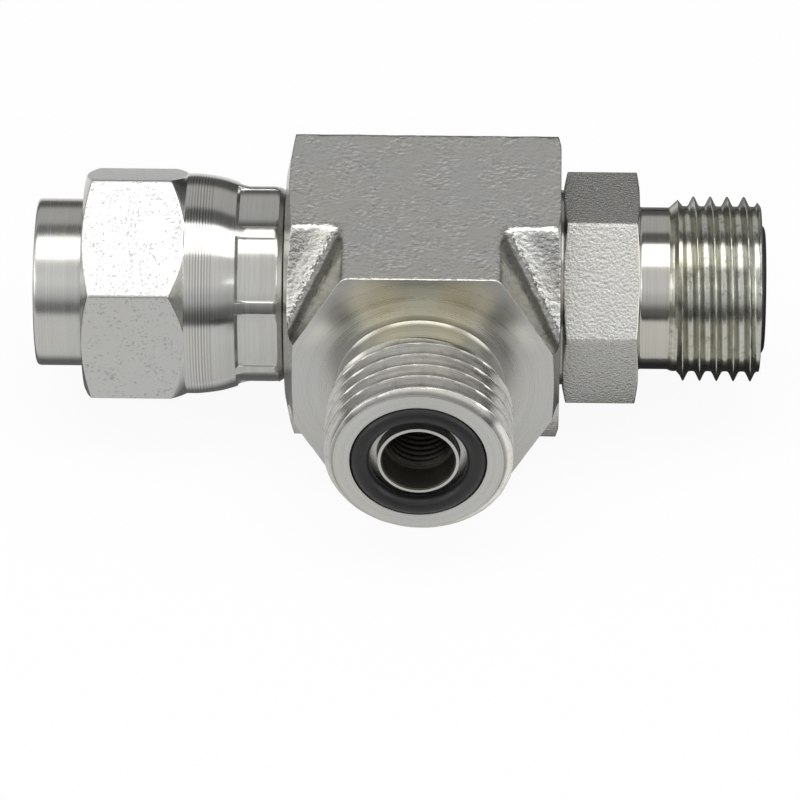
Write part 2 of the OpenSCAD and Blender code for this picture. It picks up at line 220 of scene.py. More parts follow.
def addMesh(name, vertices, faces):
    mesh = bpy.data.meshes.new(name)
    mesh.from_pydata(vertices, [], faces)
    return addObject(name, mesh)


# Camera: fitted to the photograph's 800 by 800 frame
cameraFit = {
    "frame": 800,
    "focal": 6480.05,  # pixels
    "distance": 613.54,  # mm from the crossing of the two axes, along the view
    "azimuth": -1.375,
    "elevation": 39.049,
    "roll": 0.228,
    "crossing": (423.570, 285.712),  # pixel of the crossing
    "sensor": 36,
    "clip": (0.01, 10),
}


def makeCamera(fit):
    azimuth, elevation, roll = (math.radians(fit[key]) for key in ("azimuth", "elevation", "roll"))
    forward = Vector((math.sin(azimuth) * math.cos(elevation), math.cos(azimuth) * math.cos(elevation),
                      -math.sin(elevation)))
    flatRight = Vector((math.cos(azimuth), -math.sin(azimuth), 0))
    flatUp = flatRight.cross(forward)
    right = math.cos(roll) * flatRight - math.sin(roll) * flatUp
    up = math.sin(roll) * flatRight + math.cos(roll) * flatUp
    middle = fit["frame"] / 2
    aside = (fit["crossing"][0] - middle) * fit["distance"] / fit["focal"]
    above = -(fit["crossing"][1] - middle) * fit["distance"] / fit["focal"]
    crossing = Vector((0, 0, axisHeight))
    place = crossing - fit["distance"] * forward - aside * right - above * up
    camera = addObject("camera", bpy.data.cameras.new("camera"))
    camera.data.sensor_width = fit["sensor"]
    camera.data.lens = fit["focal"] * fit["sensor"] / fit["frame"]
    camera.data.clip_start, camera.data.clip_end = fit["clip"]
    turned = Matrix((right, up, -forward)).transposed().to_4x4()
    camera.matrix_world = Matrix.Translation(place * mm) @ turned
    bpy.context.scene.camera = camera


makeCamera(cameraFit)
bpy.context.scene.view_settings.view_transform = "Standard"


# Studio in metres: a softbox overhead, one at each side, grey cards that only reflections see, a pale floor
studio = {
    "overhead": {"place": (0, -0.035, 0.52), "size": (0.7, 0.31), "radiance": 2.05},
    "left": {"place": (-0.44, -0.3, 0.215), "size": (0.78, 0.3), "radiance": 1.9},
    "right": {"place": (0.44, -0.3, 0.215), "size": (0.78, 0.3), "radiance": 1.9},
    "aim": (0, 0, 0.012),
    "ambient": 0.42,  # what the world gives to matt surfaces
    "cardRadius": 0.4,
    "cardLength": 1.4,
    "cardSteps": 24,
    "floorHalf": 1.5,
    "floorLevel": -0.0002,
    "floorGrey": (0.86, 0.86, 0.86, 1),
    "floorGlow": 0.93,  # share of plain white in the floor as the camera sees it
    "floorSheen": 0.6,  # the same as the metal sees it
    "floorCardHalf": 0.75,
    "floorCardLevel": -0.0001,
    "floorFade": (-0.002, 0.022, 0.2),  # to the right the floor cards grow dark: from, to, and share left
}
# The floor as reflections see it, under and behind the part and far in front: place towards the back, and
# brightness
floorShades = {
    # The dark stretch from 5.5 mm in front of the run axis to 12 mm behind it is the part's shadow on the
    # floor, painted for reflections.
    "floor_card_rear": [(-0.0085, 0.92), (-0.0055, 0.16), (0.012, 0.18), (0.03, 0.95), (0.09, 0.9),
                        (0.14, 0.18), (0.39, 0.12)],
    "floor_card_front": [(-0.39, 0.15), (-0.16, 0.17), (-0.095, 0.95)],
}
# Stops of each card: angle in degrees from the front horizon over the top, and brightness
cards = {
    "front_card": [(-14, 1.0), (-6, 0.17), (4, 0.17), (22, 0.72), (38, 1.0)],
    "rear_card": [(104, 0.2), (120, 0.16), (127, 0.67), (158, 0.67), (168, 0.15), (190, 0.12), (197, 0.5)],
}


def plainMaterial(name):
    material = bpy.data.materials.new(name)
    material.use_nodes = True
    material.node_tree.nodes.clear()
    return material, material.node_tree


def show(tree, shader, kind="ShaderNodeOutputMaterial"):
    output = tree.nodes.new(kind)
    tree.links.new(shader.outputs[0], output.inputs["Surface"])


def rays(tree, name):
    return Wire(tree.nodes.new("ShaderNodeLightPath"), f"Is {name} Ray")


def makeSoftbox(name, settings):
    data = bpy.data.lights.new(name, "AREA")
    data.shape = "RECTANGLE"
    data.size, data.size_y = settings["size"]
    data.energy = settings["radiance"] * math.pi * data.size * data.size_y
    lamp = addObject(name, data)
    lamp.location = settings["place"]
    toAim = Vector(studio["aim"]) - Vector(settings["place"])
    lamp.rotation_euler = toAim.to_track_quat("-Z", "Y").to_euler()
    lamp.visible_camera = False


# Camera, glossy and transmission rays all see the plain background.
def makeWorld():
    world = bpy.data.worlds.new("studio")
    world.use_nodes = True
    tree = world.node_tree
    tree.nodes.clear()
    seen = calc("MAXIMUM", rays(tree, "Camera"), rays(tree, "Glossy"))
    seen = calc("MAXIMUM", seen, rays(tree, "Transmission"))
    strength = between(seen, studio["ambient"], 1.0)
    show(tree, addNode(tree, "ShaderNodeBackground", {"Color": (1, 1, 1, 1), "Strength": strength}),
         "ShaderNodeOutputWorld")
    bpy.context.scene.world = world


# Gives a card its glow by stops, for a value made from the place in metres. Only reflections see a card.
def lightCard(card, valueOf, stops, unit=1.0, strengthOf=None):
    material, tree = plainMaterial(card.name)
    place = split(Wire(tree.nodes.new("ShaderNodeTexCoord"), "Object"))
    greys = [(stop, (grey, grey, grey, 1)) for stop, grey in stops]
    strength = strengthOf(place) if strengthOf else 1.0
    glow = {"Color": ramp(valueOf(place), greys, unit), "Strength": strength}
    show(tree, addNode(tree, "ShaderNodeEmission", glow))
    card.data.materials.append(material)
    card.visible_camera = card.visible_diffuse = card.visible_shadow = card.visible_transmission = False


# A strip of a tube around the run axis, whose grey follows the stops
def makeCard(name, stops):
    radius, half, steps = studio["cardRadius"], studio["cardLength"] / 2, studio["cardSteps"]
    angles = np.radians(np.linspace(stops[0][0], stops[-1][0], steps + 1))
    vertices = [(x, -radius * math.cos(angle), axisZ + radius * math.sin(angle))
                for angle in angles for x in (-half, half)]
    card = addMesh(name, vertices, [(2 * i, 2 * i + 1, 2 * i + 3, 2 * i + 2) for i in range(steps)])

    def angleOf(place):
        angle = calc("ARCTAN2", place[2] - axisZ, place[1] * -1.0)
        return angle + calc("LESS_THAN", angle, -math.pi / 2) * turn

    lightCard(card, angleOf, stops, math.radians(1))


# A flat sheet, from front to back and as wide as twice the half
def makeSheet(name, half, front, back, level):
    corners = [(-half, front), (half, front), (half, back), (-half, back)]
    return addMesh(name, [(x, y, level) for x, y in corners], [(0, 1, 2, 3)])


def makeFloorCard(name, stops):
    card = makeSheet(name, studio["floorCardHalf"], stops[0][0], stops[-1][0], studio["floorCardLevel"])
    start, end, least = studio["floorFade"]
    lightCard(card, lambda place: place[1], stops,
              strengthOf=lambda place: remap(place[0], start, end, 1.0, least))


def makeFloor():
    half = studio["floorHalf"]
    floor = makeSheet("floor", half, -half, half, studio["floorLevel"])
    material, tree = plainMaterial("floor_paper")
    matt = addNode(tree, "ShaderNodeBsdfDiffuse", {"Color": studio["floorGrey"]})
    glow = addNode(tree, "ShaderNodeEmission", {"Color": (1, 1, 1, 1), "Strength": 1.0})
    share = calc("MAXIMUM", rays(tree, "Camera") * studio["floorGlow"],
                 rays(tree, "Glossy") * studio["floorSheen"])
    show(tree, addNode(tree, "ShaderNodeMixShader", {0: share, 1: Wire(matt), 2: Wire(glow)}))
    floor.data.materials.append(material)


for lampName in ("overhead", "left", "right"):
    makeSoftbox(lampName + "_softbox", studio[lampName])
makeWorld()
for cardName, cardStops in cards.items():
    makeCard(cardName, cardStops)
for cardName, cardStops in floorShades.items():
    makeFloorCard(cardName, cardStops)
makeFloor()
print("camera and studio ready")


# Shader groups that several finishes share. All read object coordinates in metres.
# Lines left by the lathe, as rings on cylinders and on faces
def makeTurningLines():
    tree, given, result = newTree("turningLines", "ShaderNodeTree", {
        "Vector": None, "Along Run": 1.0, "Axis Height": axisZ, "Fine": 9.0, "Coarse": 2.2,
        "Coarse Share": 0.4, "Feed": 0.27, "Feed Share": 0.0}, ["Height", "Radius"])
    x, y, z = split(given["Vector"])
    across = between(given["Along Run"], x, y)
    station = between(given["Along Run"], y, x) / mm
    radius = hypotenuse(across, z - given["Axis Height"]) / mm
    rings = join(station, radius, 0.0)
    fine = noise(rings, given["Fine"], 2.0, 0.6)
    coarse = noise(rings, given["Coarse"], 3.0)
    wave = calc("SINE", station * turn / given["Feed"])
    regular = 0.5 + wave * remap(coarse, 0.35, 0.65, 0.05, 0.3)
    chance = between(given["Coarse Share"], fine, coarse)
    feed(result["Height"], between(given["Feed Share"], chance, regular))
    feed(result["Radius"], radius)
    return tree


# The place in millimetres, and the same drawn out along the run
def stretched(given):
    place = inMillimetres(given["Vector"])
    x, y, z = split(place)
    return place, join(x / given["Stretch"], y, z)


# Grain of a blasted or forged skin, and round specks of chance size and depth that lie closer in some places
def makeBlastedSkin():
    tree, given, result = newTree("blastedSkin", "ShaderNodeTree", {
        "Vector": None, "Grain": 2.2, "Stretch": 1.0, "Octaves": 4.0, "Fuzz": 0.55, "Speck Share": 0.3,
        "Specks": 2.0, "Speck Radius": 0.35, "Fleck Share": 0.0}, ["Height", "Pits"])
    place, drawnOut = stretched(given)
    feed(result["Height"], noise(drawnOut, given["Grain"], given["Octaves"], given["Fuzz"]))
    cells = addNode(tree, "ShaderNodeTexVoronoi", {"Vector": place, "Scale": given["Specks"]})
    chance = split(Wire(cells, "Color"), "ShaderNodeSeparateColor")
    cluster = noise(place, 0.6)
    limit = given["Speck Share"] * remap(cluster, 0.35, 0.65, 0.4, 1.6)
    size = calc("MAXIMUM", remap(chance[0], 0.0, limit, 1.0, 0.0, "LINEAR") * given["Speck Radius"], 0.001)
    dots = remap(Wire(cells, "Distance"), size * 0.5, size, 1.0, 0.0) * faded(chance[1], 1.0, 0.4)
    level = noise(place, 3.4, 2.0, 0.6) + (cluster - 0.5) * 0.3
    feed(result["Pits"], calc("MAXIMUM", dots, remap(level, 0.59, 0.7) * given["Fleck Share"]))
    return tree


# Painted light and shade of the folds that the dies leave in a forged skin, bright on one side of a fold and
# dark on the other, and a grit
def makeLeather():
    tree, given, result = newTree("leather", "ShaderNodeTree", {
        "Vector": None, "Grain": 2.2, "Stretch": 1.1, "Grit": 3.2, "Patches": 0.35}, ["Relief", "Grit"])
    place, here = stretched(given)
    beside = vectorCalc("ADD", here, (0.03, -0.11, -0.05))
    folds = noise(here, given["Grain"], 1.5) - noise(beside, given["Grain"], 1.5)
    feed(result["Relief"], folds * remap(noise(place, given["Patches"]), 0.38, 0.6, 0.35, 1.35))
    feed(result["Grit"], noise(place, given["Grit"]))
    return tree


# Slow change between the grey of the zinc and the warm tone of its passivation
def makePlatingTint():
    tree, given, result = newTree("platingTint", "ShaderNodeTree", {
        "Vector": None, "Grey": (0.43, 0.43, 0.42, 1), "Warm": (0.45, 0.43, 0.36, 1), "Amount": 0.5,
        "Patch": 0.16}, ["Color"])
    cloud = noise(inMillimetres(given["Vector"]), given["Patch"], 3.0)
    feed(result["Color"], mixed(remap(cloud, 0.35, 0.65) * given["Amount"], given["Grey"], given["Warm"]))
    return tree


# Masks of the painted shade in the corner between the two forged bars, of the painted highlight on the ridge
# beside it, of the painted highlight along the edge where the turned front face cuts the skin, and of the
# slanted facets. Near, Far and Ragged are in millimetres.
def makeForgingValley():
    tree, given, result = newTree("forgingValley", "ShaderNodeTree", {
        "Vector": None, "Axis Height": axisZ, "Near": -0.6, "Far": 1.9, "Ragged": 2.2, "Front": -0.0152,
        "Burr Width": 0.0002}, ["Mask", "Edge Highlight", "Ridge Highlight", "Run Facet", "Branch Facet"])
    x, y, z = split(given["Vector"])
    place = inMillimetres(given["Vector"])
    slant = math.cos(math.radians(30)) / mm
    wander = (noise(place, 3.6, 3.0, 0.65) - 0.5) * given["Ragged"]
    past = abs(y) * slant - abs(x) * slant + wander
    offAxis = abs(z - given["Axis Height"])
    # Towards the top and bottom flats the painted shade spreads further.
    far = given["Far"] + remap(offAxis, 0.0092, 0.0122, 0.0, 1.6)
    beside = remap(y, -0.004, -0.007) * remap(offAxis, 0.0119, 0.0126, 1.0, 0.0)
    near = given["Near"]
    # The painted shade in the corner between the two bars
    scale = remap(past, near - 0.25, near + 0.25) * remap(past, far - 0.5, far + 0.3, 1.0, 0.0)
    # A bright band beside it, a painted highlight on the valley's ridge
    ridgeHighlight = remap(past, -2.6, -1.8) * remap(past, -0.95, -0.45, 1.0, 0.0)
    # A thin bright line where the turned front face cuts the skin, a painted highlight of the edge
    width = given["Burr Width"] * remap(noise(place, 2.0, 3.0), 0.35, 0.65, 0.3, 2.4)
    facing = split(Wire(tree.nodes.new("ShaderNodeNewGeometry"), "Normal"))
    feed(result["Mask"], scale * beside)
    feed(result["Ridge Highlight"], ridgeHighlight * beside)
    feed(result["Edge Highlight"], remap(y, given["Front"], given["Front"] + width, 1.0, 0.0))
    feed(result["Run Facet"], remap(abs(facing[1]), 0.45, 0.75))
    feed(result["Branch Facet"], remap(abs(facing[0]), 0.45, 0.8))
    return tree


turningLines = makeTurningLines()
blastedSkin = makeBlastedSkin()
leather = makeLeather()
platingTint = makePlatingTint()
forgingValley = makeForgingValley()


# Finishes. Each returns a material whose Principled BSDF is fed by the groups above.
def surface(name, metallic):
    material, tree = plainMaterial(name)
    shader = addNode(tree, "ShaderNodeBsdfPrincipled", {"Metallic": metallic})
    show(tree, shader)
    return material, shader.inputs, Wire(tree.nodes.new("ShaderNodeTexCoord"), "Object")


# Depth is the height in millimetres between a value of 0 and 1, and a hollow when it is negative.
def bump(height, depth, normal=None):
    settings = {"Height": height, "Strength": 1.0, "Distance": abs(depth) * mm}
    if normal:
        settings["Normal"] = normal
    return Wire(addNode(treeOf(height), "ShaderNodeBump", settings, invert=depth < 0))


# Normals that round the sharp edges over this many millimetres
def softEdges(tree, radius):
    return Wire(addNode(tree, "ShaderNodeBevel", {"Radius": radius * mm}, samples=6))


def shaded(base, factor):
    return mixed(1.0, base, join(factor, factor, factor, "ShaderNodeCombineColor"), "MULTIPLY")


def tinted(place, look):
    settings = {"Vector": place, "Grey": look["grey"], "Warm": look["warm"], "Amount": look["tint"]}
    return groupNode(platingTint, settings)["Color"]


# The lines run around the axis, so a turned surface scatters most across them.
def brushing(place, alongRun):
    fromAxis = vectorCalc("SUBTRACT", place, (0, 0, axisZ))
    around = vectorCalc("CROSS_PRODUCT", (alongRun, 1 - alongRun, 0), fromAxis)
    tree = treeOf(place)
    inWorld = Wire(addNode(tree, "ShaderNodeVectorTransform", {0: around}, vector_type="VECTOR",
                           convert_from="OBJECT", convert_to="WORLD"))
    normal = Wire(tree.nodes.new("ShaderNodeNewGeometry"), "Normal")
    return vectorCalc("NORMALIZE", vectorCalc("CROSS_PRODUCT", normal, inWorld))


# Painted reflection and highlight by the distance from the branch's axis, behind a station and above the
# axis, and soft spots of painted reflection and shade beside it
def paintedReflectionByRadius(coloured, radius, x, y, z, look):
    above = remap(z, (axisHeight + 3.5) * mm, (axisHeight + 8.5) * mm)
    behind = remap(y, (look["reflectionBehind"] - 0.5) * mm, look["reflectionBehind"] * mm) * above
    coloured = mixed(behind, coloured, ramp(radius, look["reflectionTones"]))
    for aside, height, size, tone in look["reflectionLobes"]:
        off = hypotenuse(abs(x) - aside * mm, z - (axisHeight + height) * mm)
        near = remap(off, size * mm * 0.2, size * mm, 1.0, 0.0) * behind
        coloured = mixed(near, coloured, tone)
    return coloured


def turnedZinc(name, look):
    material, inputs, place = surface(name, 1.0)
    lines = groupNode(turningLines, {
        "Vector": place, "Along Run": look["alongRun"], "Fine": look["fine"], "Coarse": look["coarse"],
        "Coarse Share": look["coarseShare"], "Feed Share": look["feedShare"]})
    height, radius = lines["Height"], lines["Radius"]
    coloured = tinted(place, look)
    x, y, z = split(place)
    if look["reflectionTones"]:
        coloured = paintedReflectionByRadius(coloured, radius, x, y, z, look)
    # The lines are painted into the colour as well, grooves darker and crests lighter: a painted shade and
    # highlight of the lathe's grooves, kept strong only within linesWithin where it is given.
    shade = remap(height, 0.4, 0.6, 1 - look["lineShade"], 1 + look["lineShade"] / 3, "LINEAR")
    if look["linesWithin"]:
        start, end = look["linesWithin"]
        along = x / mm
        within = remap(along, start - 1, start) * remap(along, end, end + 1, 1.0, 0.0)
        shade = 1.0 + (shade - 1.0) * faded(within, 1.0, 0.25)
    if look["stain"]:
        spots = noise(inMillimetres(place, 1.3), 1.0, 5.0, 0.7)
        shade = shade * remap(spots, 0.5, 0.68, 1.0, 1 - look["stain"])
    # The thread's chamfer at the front is painted brighter: a painted highlight.
    if look["chamfer"]:
        start, gain = look["chamfer"]
        shade = shade * remap(y, (start - 0.1) * mm, (start + 0.05) * mm, gain, 1.0)
    # The thread's roots are painted darker: painted shade.
    if look["roots"]:
        inner, outer, darkest = look["roots"]
        shade = shade * remap(radius, inner, outer, darkest, 1.0)
    smooth, rough = look["roughness"] * 0.85, look["roughness"] * 1.2
    feed(inputs["Base Color"], shaded(coloured, shade))
    feed(inputs["Roughness"], remap(height, 0.3, 0.7, smooth, rough, "LINEAR"))
    feed(inputs["Anisotropic"], look["brushed"])
    feed(inputs["Tangent"], brushing(place, look["alongRun"]))
    feed(inputs["Normal"], bump(height, look["depth"], softEdges(treeOf(place), look["edge"])))
    return material


# What only the forging has: painted light and shade of the folds, grit, painted shade in the valley, painted
# highlights on its ridge and along the cut front edge, and facets of their own with painted shade
def forged(place, look, coloured, shade, height, roughness):
    valley = groupNode(forgingValley, {"Vector": place})
    folds = groupNode(leather, {"Vector": place})
    relief, runFacet, branchFacet = folds["Relief"], valley["Run Facet"], valley["Branch Facet"]
    # The folds are painted into the colour, lit on one side and shaded on the other, with painted highlights
    # on their tops: painted light and shade.
    lit = calc("MAXIMUM", relief - look["litFrom"], 0.0)
    shade = shade + relief * look["relief"] + lit * (look["relief"] * look["litGain"])
    # The valley corner and the run's facets are painted darker: painted shade.
    shade = shade * faded(valley["Mask"], 1 - look["scale"]) * faded(runFacet, look["facetShade"])
    # Painted highlights along the cut front edge and on the valley's ridge
    shade = shade + valley["Edge Highlight"] * look["edgeHighlight"] + valley["Ridge Highlight"] * look["ridgeHighlight"]
    # The branch's slanted facets are painted in a dark warm tone: painted shade.
    coloured = mixed(branchFacet * look["branchShare"], coloured, look["branchFacetShade"])
    roughness = roughness + valley["Ridge Highlight"] * look["ridgeRoughness"]
    gritty = folds["Grit"] * faded(runFacet, look["grit"], look["gritElsewhere"])
    height = height * faded(runFacet, look["facetDepth"]) + gritty
    return coloured, shade, height * faded(branchFacet, look["branchDepth"]), roughness


def blastedZinc(name, look):
    material, inputs, place = surface(name, 1.0)
    skin = groupNode(blastedSkin, {
        "Vector": place, "Grain": look["grain"], "Stretch": look["stretch"], "Octaves": look["octaves"],
        "Fuzz": look["fuzz"], "Speck Share": look["specks"], "Speck Radius": look["speckSize"],
        "Fleck Share": look["flecks"]})
    coloured = tinted(place, look)
    height = skin["Height"]
    shade = between(skin["Pits"], 1.0, look["speckShade"])
    roughness = remap(height, 0.3, 0.7, look["roughness"] * 0.9, look["roughness"] * 1.15, "LINEAR")
    if look["scale"]:
        coloured, shade, height, roughness = forged(place, look, coloured, shade, height, roughness)
    feed(inputs["Base Color"], shaded(coloured, shade))
    feed(inputs["Roughness"], roughness)
    grain = bump(height, look["depth"], softEdges(treeOf(place), look["edge"]))
    feed(inputs["Normal"], bump(skin["Pits"], -look["speckDepth"], grain))
    return material


zincGrey = (0.465, 0.465, 0.45, 1)
zincWarm = (0.485, 0.46, 0.385, 1)
# A warm tone, partly the neck's own tint and partly its painted reflection in the face, and a bright tone
# that is a painted highlight on the face around the neck
neckTintAndReflection = (0.49, 0.475, 0.4, 1)
ringHighlight = (0.75, 0.745, 0.67, 1)
blastedLook = {
    "grey": zincGrey, "warm": zincWarm, "tint": 0.2, "roughness": 0.3, "edge": 0.12,
    "grain": 2.4, "stretch": 1.0, "octaves": 4.0, "fuzz": 0.55, "depth": 0.12, "scale": 0.0,
    "specks": 0.3, "speckSize": 0.3, "flecks": 0.0, "speckShade": 0.85, "speckDepth": 0.01,
}
forgedLook = blastedLook | {
    "tint": 0.3, "roughness": 0.23, "edge": 0.3,
    # Where scale is above 0 the skin is forged, and it gives how dark the valley's painted shade is
    "grain": 1.7, "stretch": 1.2, "octaves": 3.0, "fuzz": 0.5, "depth": 0.105, "scale": 0.7,
    "relief": 1.0, "litFrom": 0.09, "litGain": 1.5, "edgeHighlight": 1.0, "ridgeHighlight": 0.33, "ridgeRoughness": 0.2,
    "facetShade": 0.94, "facetDepth": 1.5, "grit": 1.0, "gritElsewhere": 0.08,
    "branchFacetShade": (0.21, 0.205, 0.17, 1), "branchShare": 0.85, "branchDepth": 0.3,
}
turnedLook = {
    "grey": zincGrey, "warm": zincWarm, "tint": 0.4, "roughness": 0.22, "edge": 0.08, "alongRun": 1.0,
    "fine": 9.0, "coarse": 2.2, "coarseShare": 0.4, "feedShare": 0.0, "lineShade": 0.08, "linesWithin": None,
    "brushed": 0.7, "depth": 0.004, "reflectionTones": None, "reflectionBehind": 0.0, "reflectionLobes": [], "roots": None,
    "chamfer": None, "stain": 0.0,
}
# The bores are painted dark, and the deep one darker still: painted shade inside them.
boreLook = turnedLook | {"roughness": 0.45, "grey": (0.07, 0.066, 0.056, 1), "warm": (0.09, 0.075, 0.05, 1)}
deepLook = boreLook | {"grey": (0.05, 0.047, 0.041, 1), "warm": (0.064, 0.056, 0.044, 1), "stain": 0.5}
finishes = {
    "forgedSkin": blastedZinc("forged_skin", forgedLook),
    "bodyTurnedRun": turnedZinc("body_turned_run", turnedLook | {
        "grey": (0.485, 0.485, 0.47, 1), "roughness": 0.27, "depth": 0.003}),
    "bodyTurnedBranch": turnedZinc("body_turned_branch", turnedLook | {
        "alongRun": 0.0, "roughness": 0.28, "brushed": 0.75, "tint": 0.25, "reflectionBehind": -18.4,
        # Above the axis the face is painted with the neck's warm reflection and a bright ring of painted
        # highlight, and on each side with a dark spot of painted shade and a bright warm spot of painted
        # reflection
        "reflectionTones": [(7.6, neckTintAndReflection), (8.2, neckTintAndReflection), (8.6, ringHighlight), (11.0, ringHighlight), (12.8, zincGrey)],
        "reflectionLobes": [(7.6, 8.6, 3.0, (0.36, 0.355, 0.33, 1)), (4.2, 10.0, 3.8, (0.9, 0.845, 0.68, 1))]}),
    "bodyThread": turnedZinc("body_thread", turnedLook | {
        "grey": (0.53, 0.525, 0.5, 1), "alongRun": 0.0, "lineShade": 0.2, "reflectionBehind": -19.5,
        # Above the axis the thread next to the face is painted warm, a painted reflection of the neck
        "reflectionTones": [(7.6, neckTintAndReflection), (8.2, neckTintAndReflection), (9.0, zincGrey)], "roots": (7.95, 8.3, 0.42),
        "chamfer": (-25.5, 1.5), "stain": 0.2}),
    "bodyBore": turnedZinc("body_bore", boreLook | {"alongRun": 0.0}),
    "bodyDeep": turnedZinc("body_deep", deepLook | {"alongRun": 0.0}),
    "nutHex": blastedZinc("nut_blasted", blastedLook | {
        "grey": (0.465, 0.465, 0.455, 1), "tint": 0.1, "roughness": 0.31, "grain": 4.5, "depth": 0.03,
        "specks": 0.5, "speckSize": 0.26, "flecks": 0.8, "speckShade": 0.7, "speckDepth": 0.02}),
    "nutTurned": turnedZinc("nut_turned", turnedLook | {
        "roughness": 0.17, "fine": 4.2, "coarse": 1.6, "depth": 0.005}),
    "nutBarrel": turnedZinc("nut_barrel", turnedLook | {
        "roughness": 0.19, "fine": 4.6, "coarse": 1.2, "depth": 0.015, "coarseShare": 0.2, "feedShare": 0.6,
        "lineShade": 0.36, "linesWithin": (-21.2, -17.6)}),
    "adapterHex": blastedZinc("adapter_blasted", blastedLook | {
        "grain": 3.9, "depth": 0.16, "roughness": 0.26, "edge": 0.22}),
    "adapterTurned": turnedZinc("adapter_turned", turnedLook | {"roughness": 0.17, "tint": 0.6}),
    "adapterThread": turnedZinc("adapter_thread", turnedLook | {
        "grey": (0.48, 0.485, 0.445, 1), "warm": (0.51, 0.495, 0.4, 1), "roughness": 0.23, "lineShade": 0.15,
        "tint": 0.6, "stain": 0.35}),
    "adapterBore": turnedZinc("adapter_bore", boreLook),
}
print("finishes ready:", len(finishes))


# Sections: outlines of turned pieces as rows of points around the axis.
# Evenly spread angles, with extra ones at the special angles and at small steps beside them
def columnAngles(count, special=(), near=()):
    exact = [(middle + side * step) % turn for middle in special for step in (0, *near) for side in (-1, 1)]
    spacing = math.radians(0.12)
    kept = set(exact)
    for angle in (turn * i / count for i in range(count)):
        if all(abs((angle - other + math.pi) % turn - math.pi) > spacing * 3 for other in exact):
            kept.add(angle)
    kept = sorted(kept)
    return np.array([a for i, a in enumerate(kept) if i == 0 or a - kept[i - 1] > spacing / 4])


# One point of an outline. What follows it has this finish, steps and tag; edge is how far it is rounded.
def corner(radius, station, edge=0.0, finish=0, steps=1, tag=0):
    return {"point": (radius, station), "edge": edge, "finish": finish, "steps": steps, "tag": tag}


# The way from one row of points to another, as a unit direction and a length
def pathBetween(start, end):
    way = end - start
    length = np.maximum(np.linalg.norm(way, axis=1, keepdims=True), 1e-9)
    return way / length, length


# Rows of points for each corner, rounded over its edge, with the finish and tag of the band that follows
def sectionRows(outline, columns, bored):
    total, last, arc = len(columns), len(outline) - 1, 4
    longest = 0.45  # share of a stretch that one rounding may take
    points = [np.stack([np.broadcast_to(np.asarray(value, float), total) for value in entry["point"]], 1)
              for entry in outline]
    rows, bands = [], []
    for place, entry in enumerate(outline):
        here, after = points[place], points[(place + 1) % len(outline)]
        made = [here]
        if entry["edge"] > 0 and (bored or 0 < place < last):
            inward, inLength = pathBetween(here, points[place - 1])
            outward, outLength = pathBetween(here, after)
            start = here + inward * np.minimum(entry["edge"], inLength * longest)
            end = here + outward * np.minimum(entry["edge"], outLength * longest)
            made = [(1 - t) ** 2 * start + 2 * t * (1 - t) * here + t * t * end
                    for t in np.linspace(0, 1, arc + 1)]
        if entry["steps"] > 1 and (bored or place < last):
            nextEdge = outline[(place + 1) % len(outline)]["edge"]
            direction, length = pathBetween(here, after)
            first, final = made[-1], after - direction * np.minimum(nextEdge, length * longest)
            made += [first + (final - first) * step / entry["steps"] for step in range(1, entry["steps"])]
        rows += made
        bands += [(entry["finish"], entry["tag"])] * len(made)
    return rows, bands


# Closed mesh around +Z, in metres. Tags become boolean attributes: 1 threaded, 2 crimped.
def turnedMesh(name, outline, columns, finishNames, bored=True):
    rows, bands = sectionRows(outline, columns, bored)
    total = len(columns)
    vertices, starts, tags, faces, faceFinish = [], [], [], [], []
    for row, (finish, tag) in zip(rows, bands):
        starts.append(len(vertices))
        if not bored and (row is rows[0] or row is rows[-1]):
            vertices.append((0, 0, float(row[0, 1]) * mm))
            tags.append(0)
            continue
        for (radius, station), angle in zip(row, columns):
            vertices.append((radius * math.cos(angle) * mm, radius * math.sin(angle) * mm, station * mm))
            tags.append(tag)
    lastBand = len(rows) - (1 if bored else 2)
    for band in range(lastBand + 1):
        low, high = starts[band], starts[(band + 1) % len(rows)]
        for i in range(total):
            j = (i + 1) % total
            if not bored and band == 0:
                faces.append((low, high + j, high + i))
            elif not bored and band == lastBand:
                faces.append((low + i, low + j, high))
            else:
                faces.append((low + i, low + j, high + j, high + i))
            faceFinish.append(bands[band][0])
    piece = addMesh(name, vertices, faces)
    for finishName in finishNames:
        piece.data.materials.append(finishes[finishName])
    piece.data.polygons.foreach_set("material_index", np.array(faceFinish, np.int32))
    for value, label in ((1, "threaded"), (2, "crimped")):
        layer = piece.data.attributes.new(label, "BOOLEAN", "POINT")
        layer.data.foreach_set("value", np.array([tag == value for tag in tags]))
    piece.data.update()
    return piece


# Geometry Nodes: threads, crimp marks and the forging, with lengths in metres. Each tree ends the same way.
def finishTree(geometry, given, result, chosen=True):
    tree = treeOf(geometry)
    real = Wire(addNode(tree, "GeometryNodeRealizeInstances", {"Geometry": geometry}))
    settings = {"Geometry": real, "Selection": chosen, "Material": given["Material"]}
    feed(result["Geometry"], Wire(addNode(tree, "GeometryNodeSetMaterial", settings)))
    return tree


# Changes the distance of the tagged points from the Z axis to what newRadius makes of it
def moveTagged(tree, given, result, label, newRadius):
    x, y, z = split(Wire(tree.nodes.new("GeometryNodeInputPosition")))
    radius = hypotenuse(x, y)
    factor = newRadius(radius, x, y, z) / radius
    chosen = Wire(addNode(tree, "GeometryNodeInputNamedAttribute", {"Name": label}, data_type="BOOLEAN"))
    moved = join(x * factor, y * factor, z)
    settings = {"Geometry": given["Geometry"], "Selection": chosen, "Position": moved}
    return finishTree(Wire(addNode(tree, "GeometryNodeSetPosition", settings)), given, result, chosen)


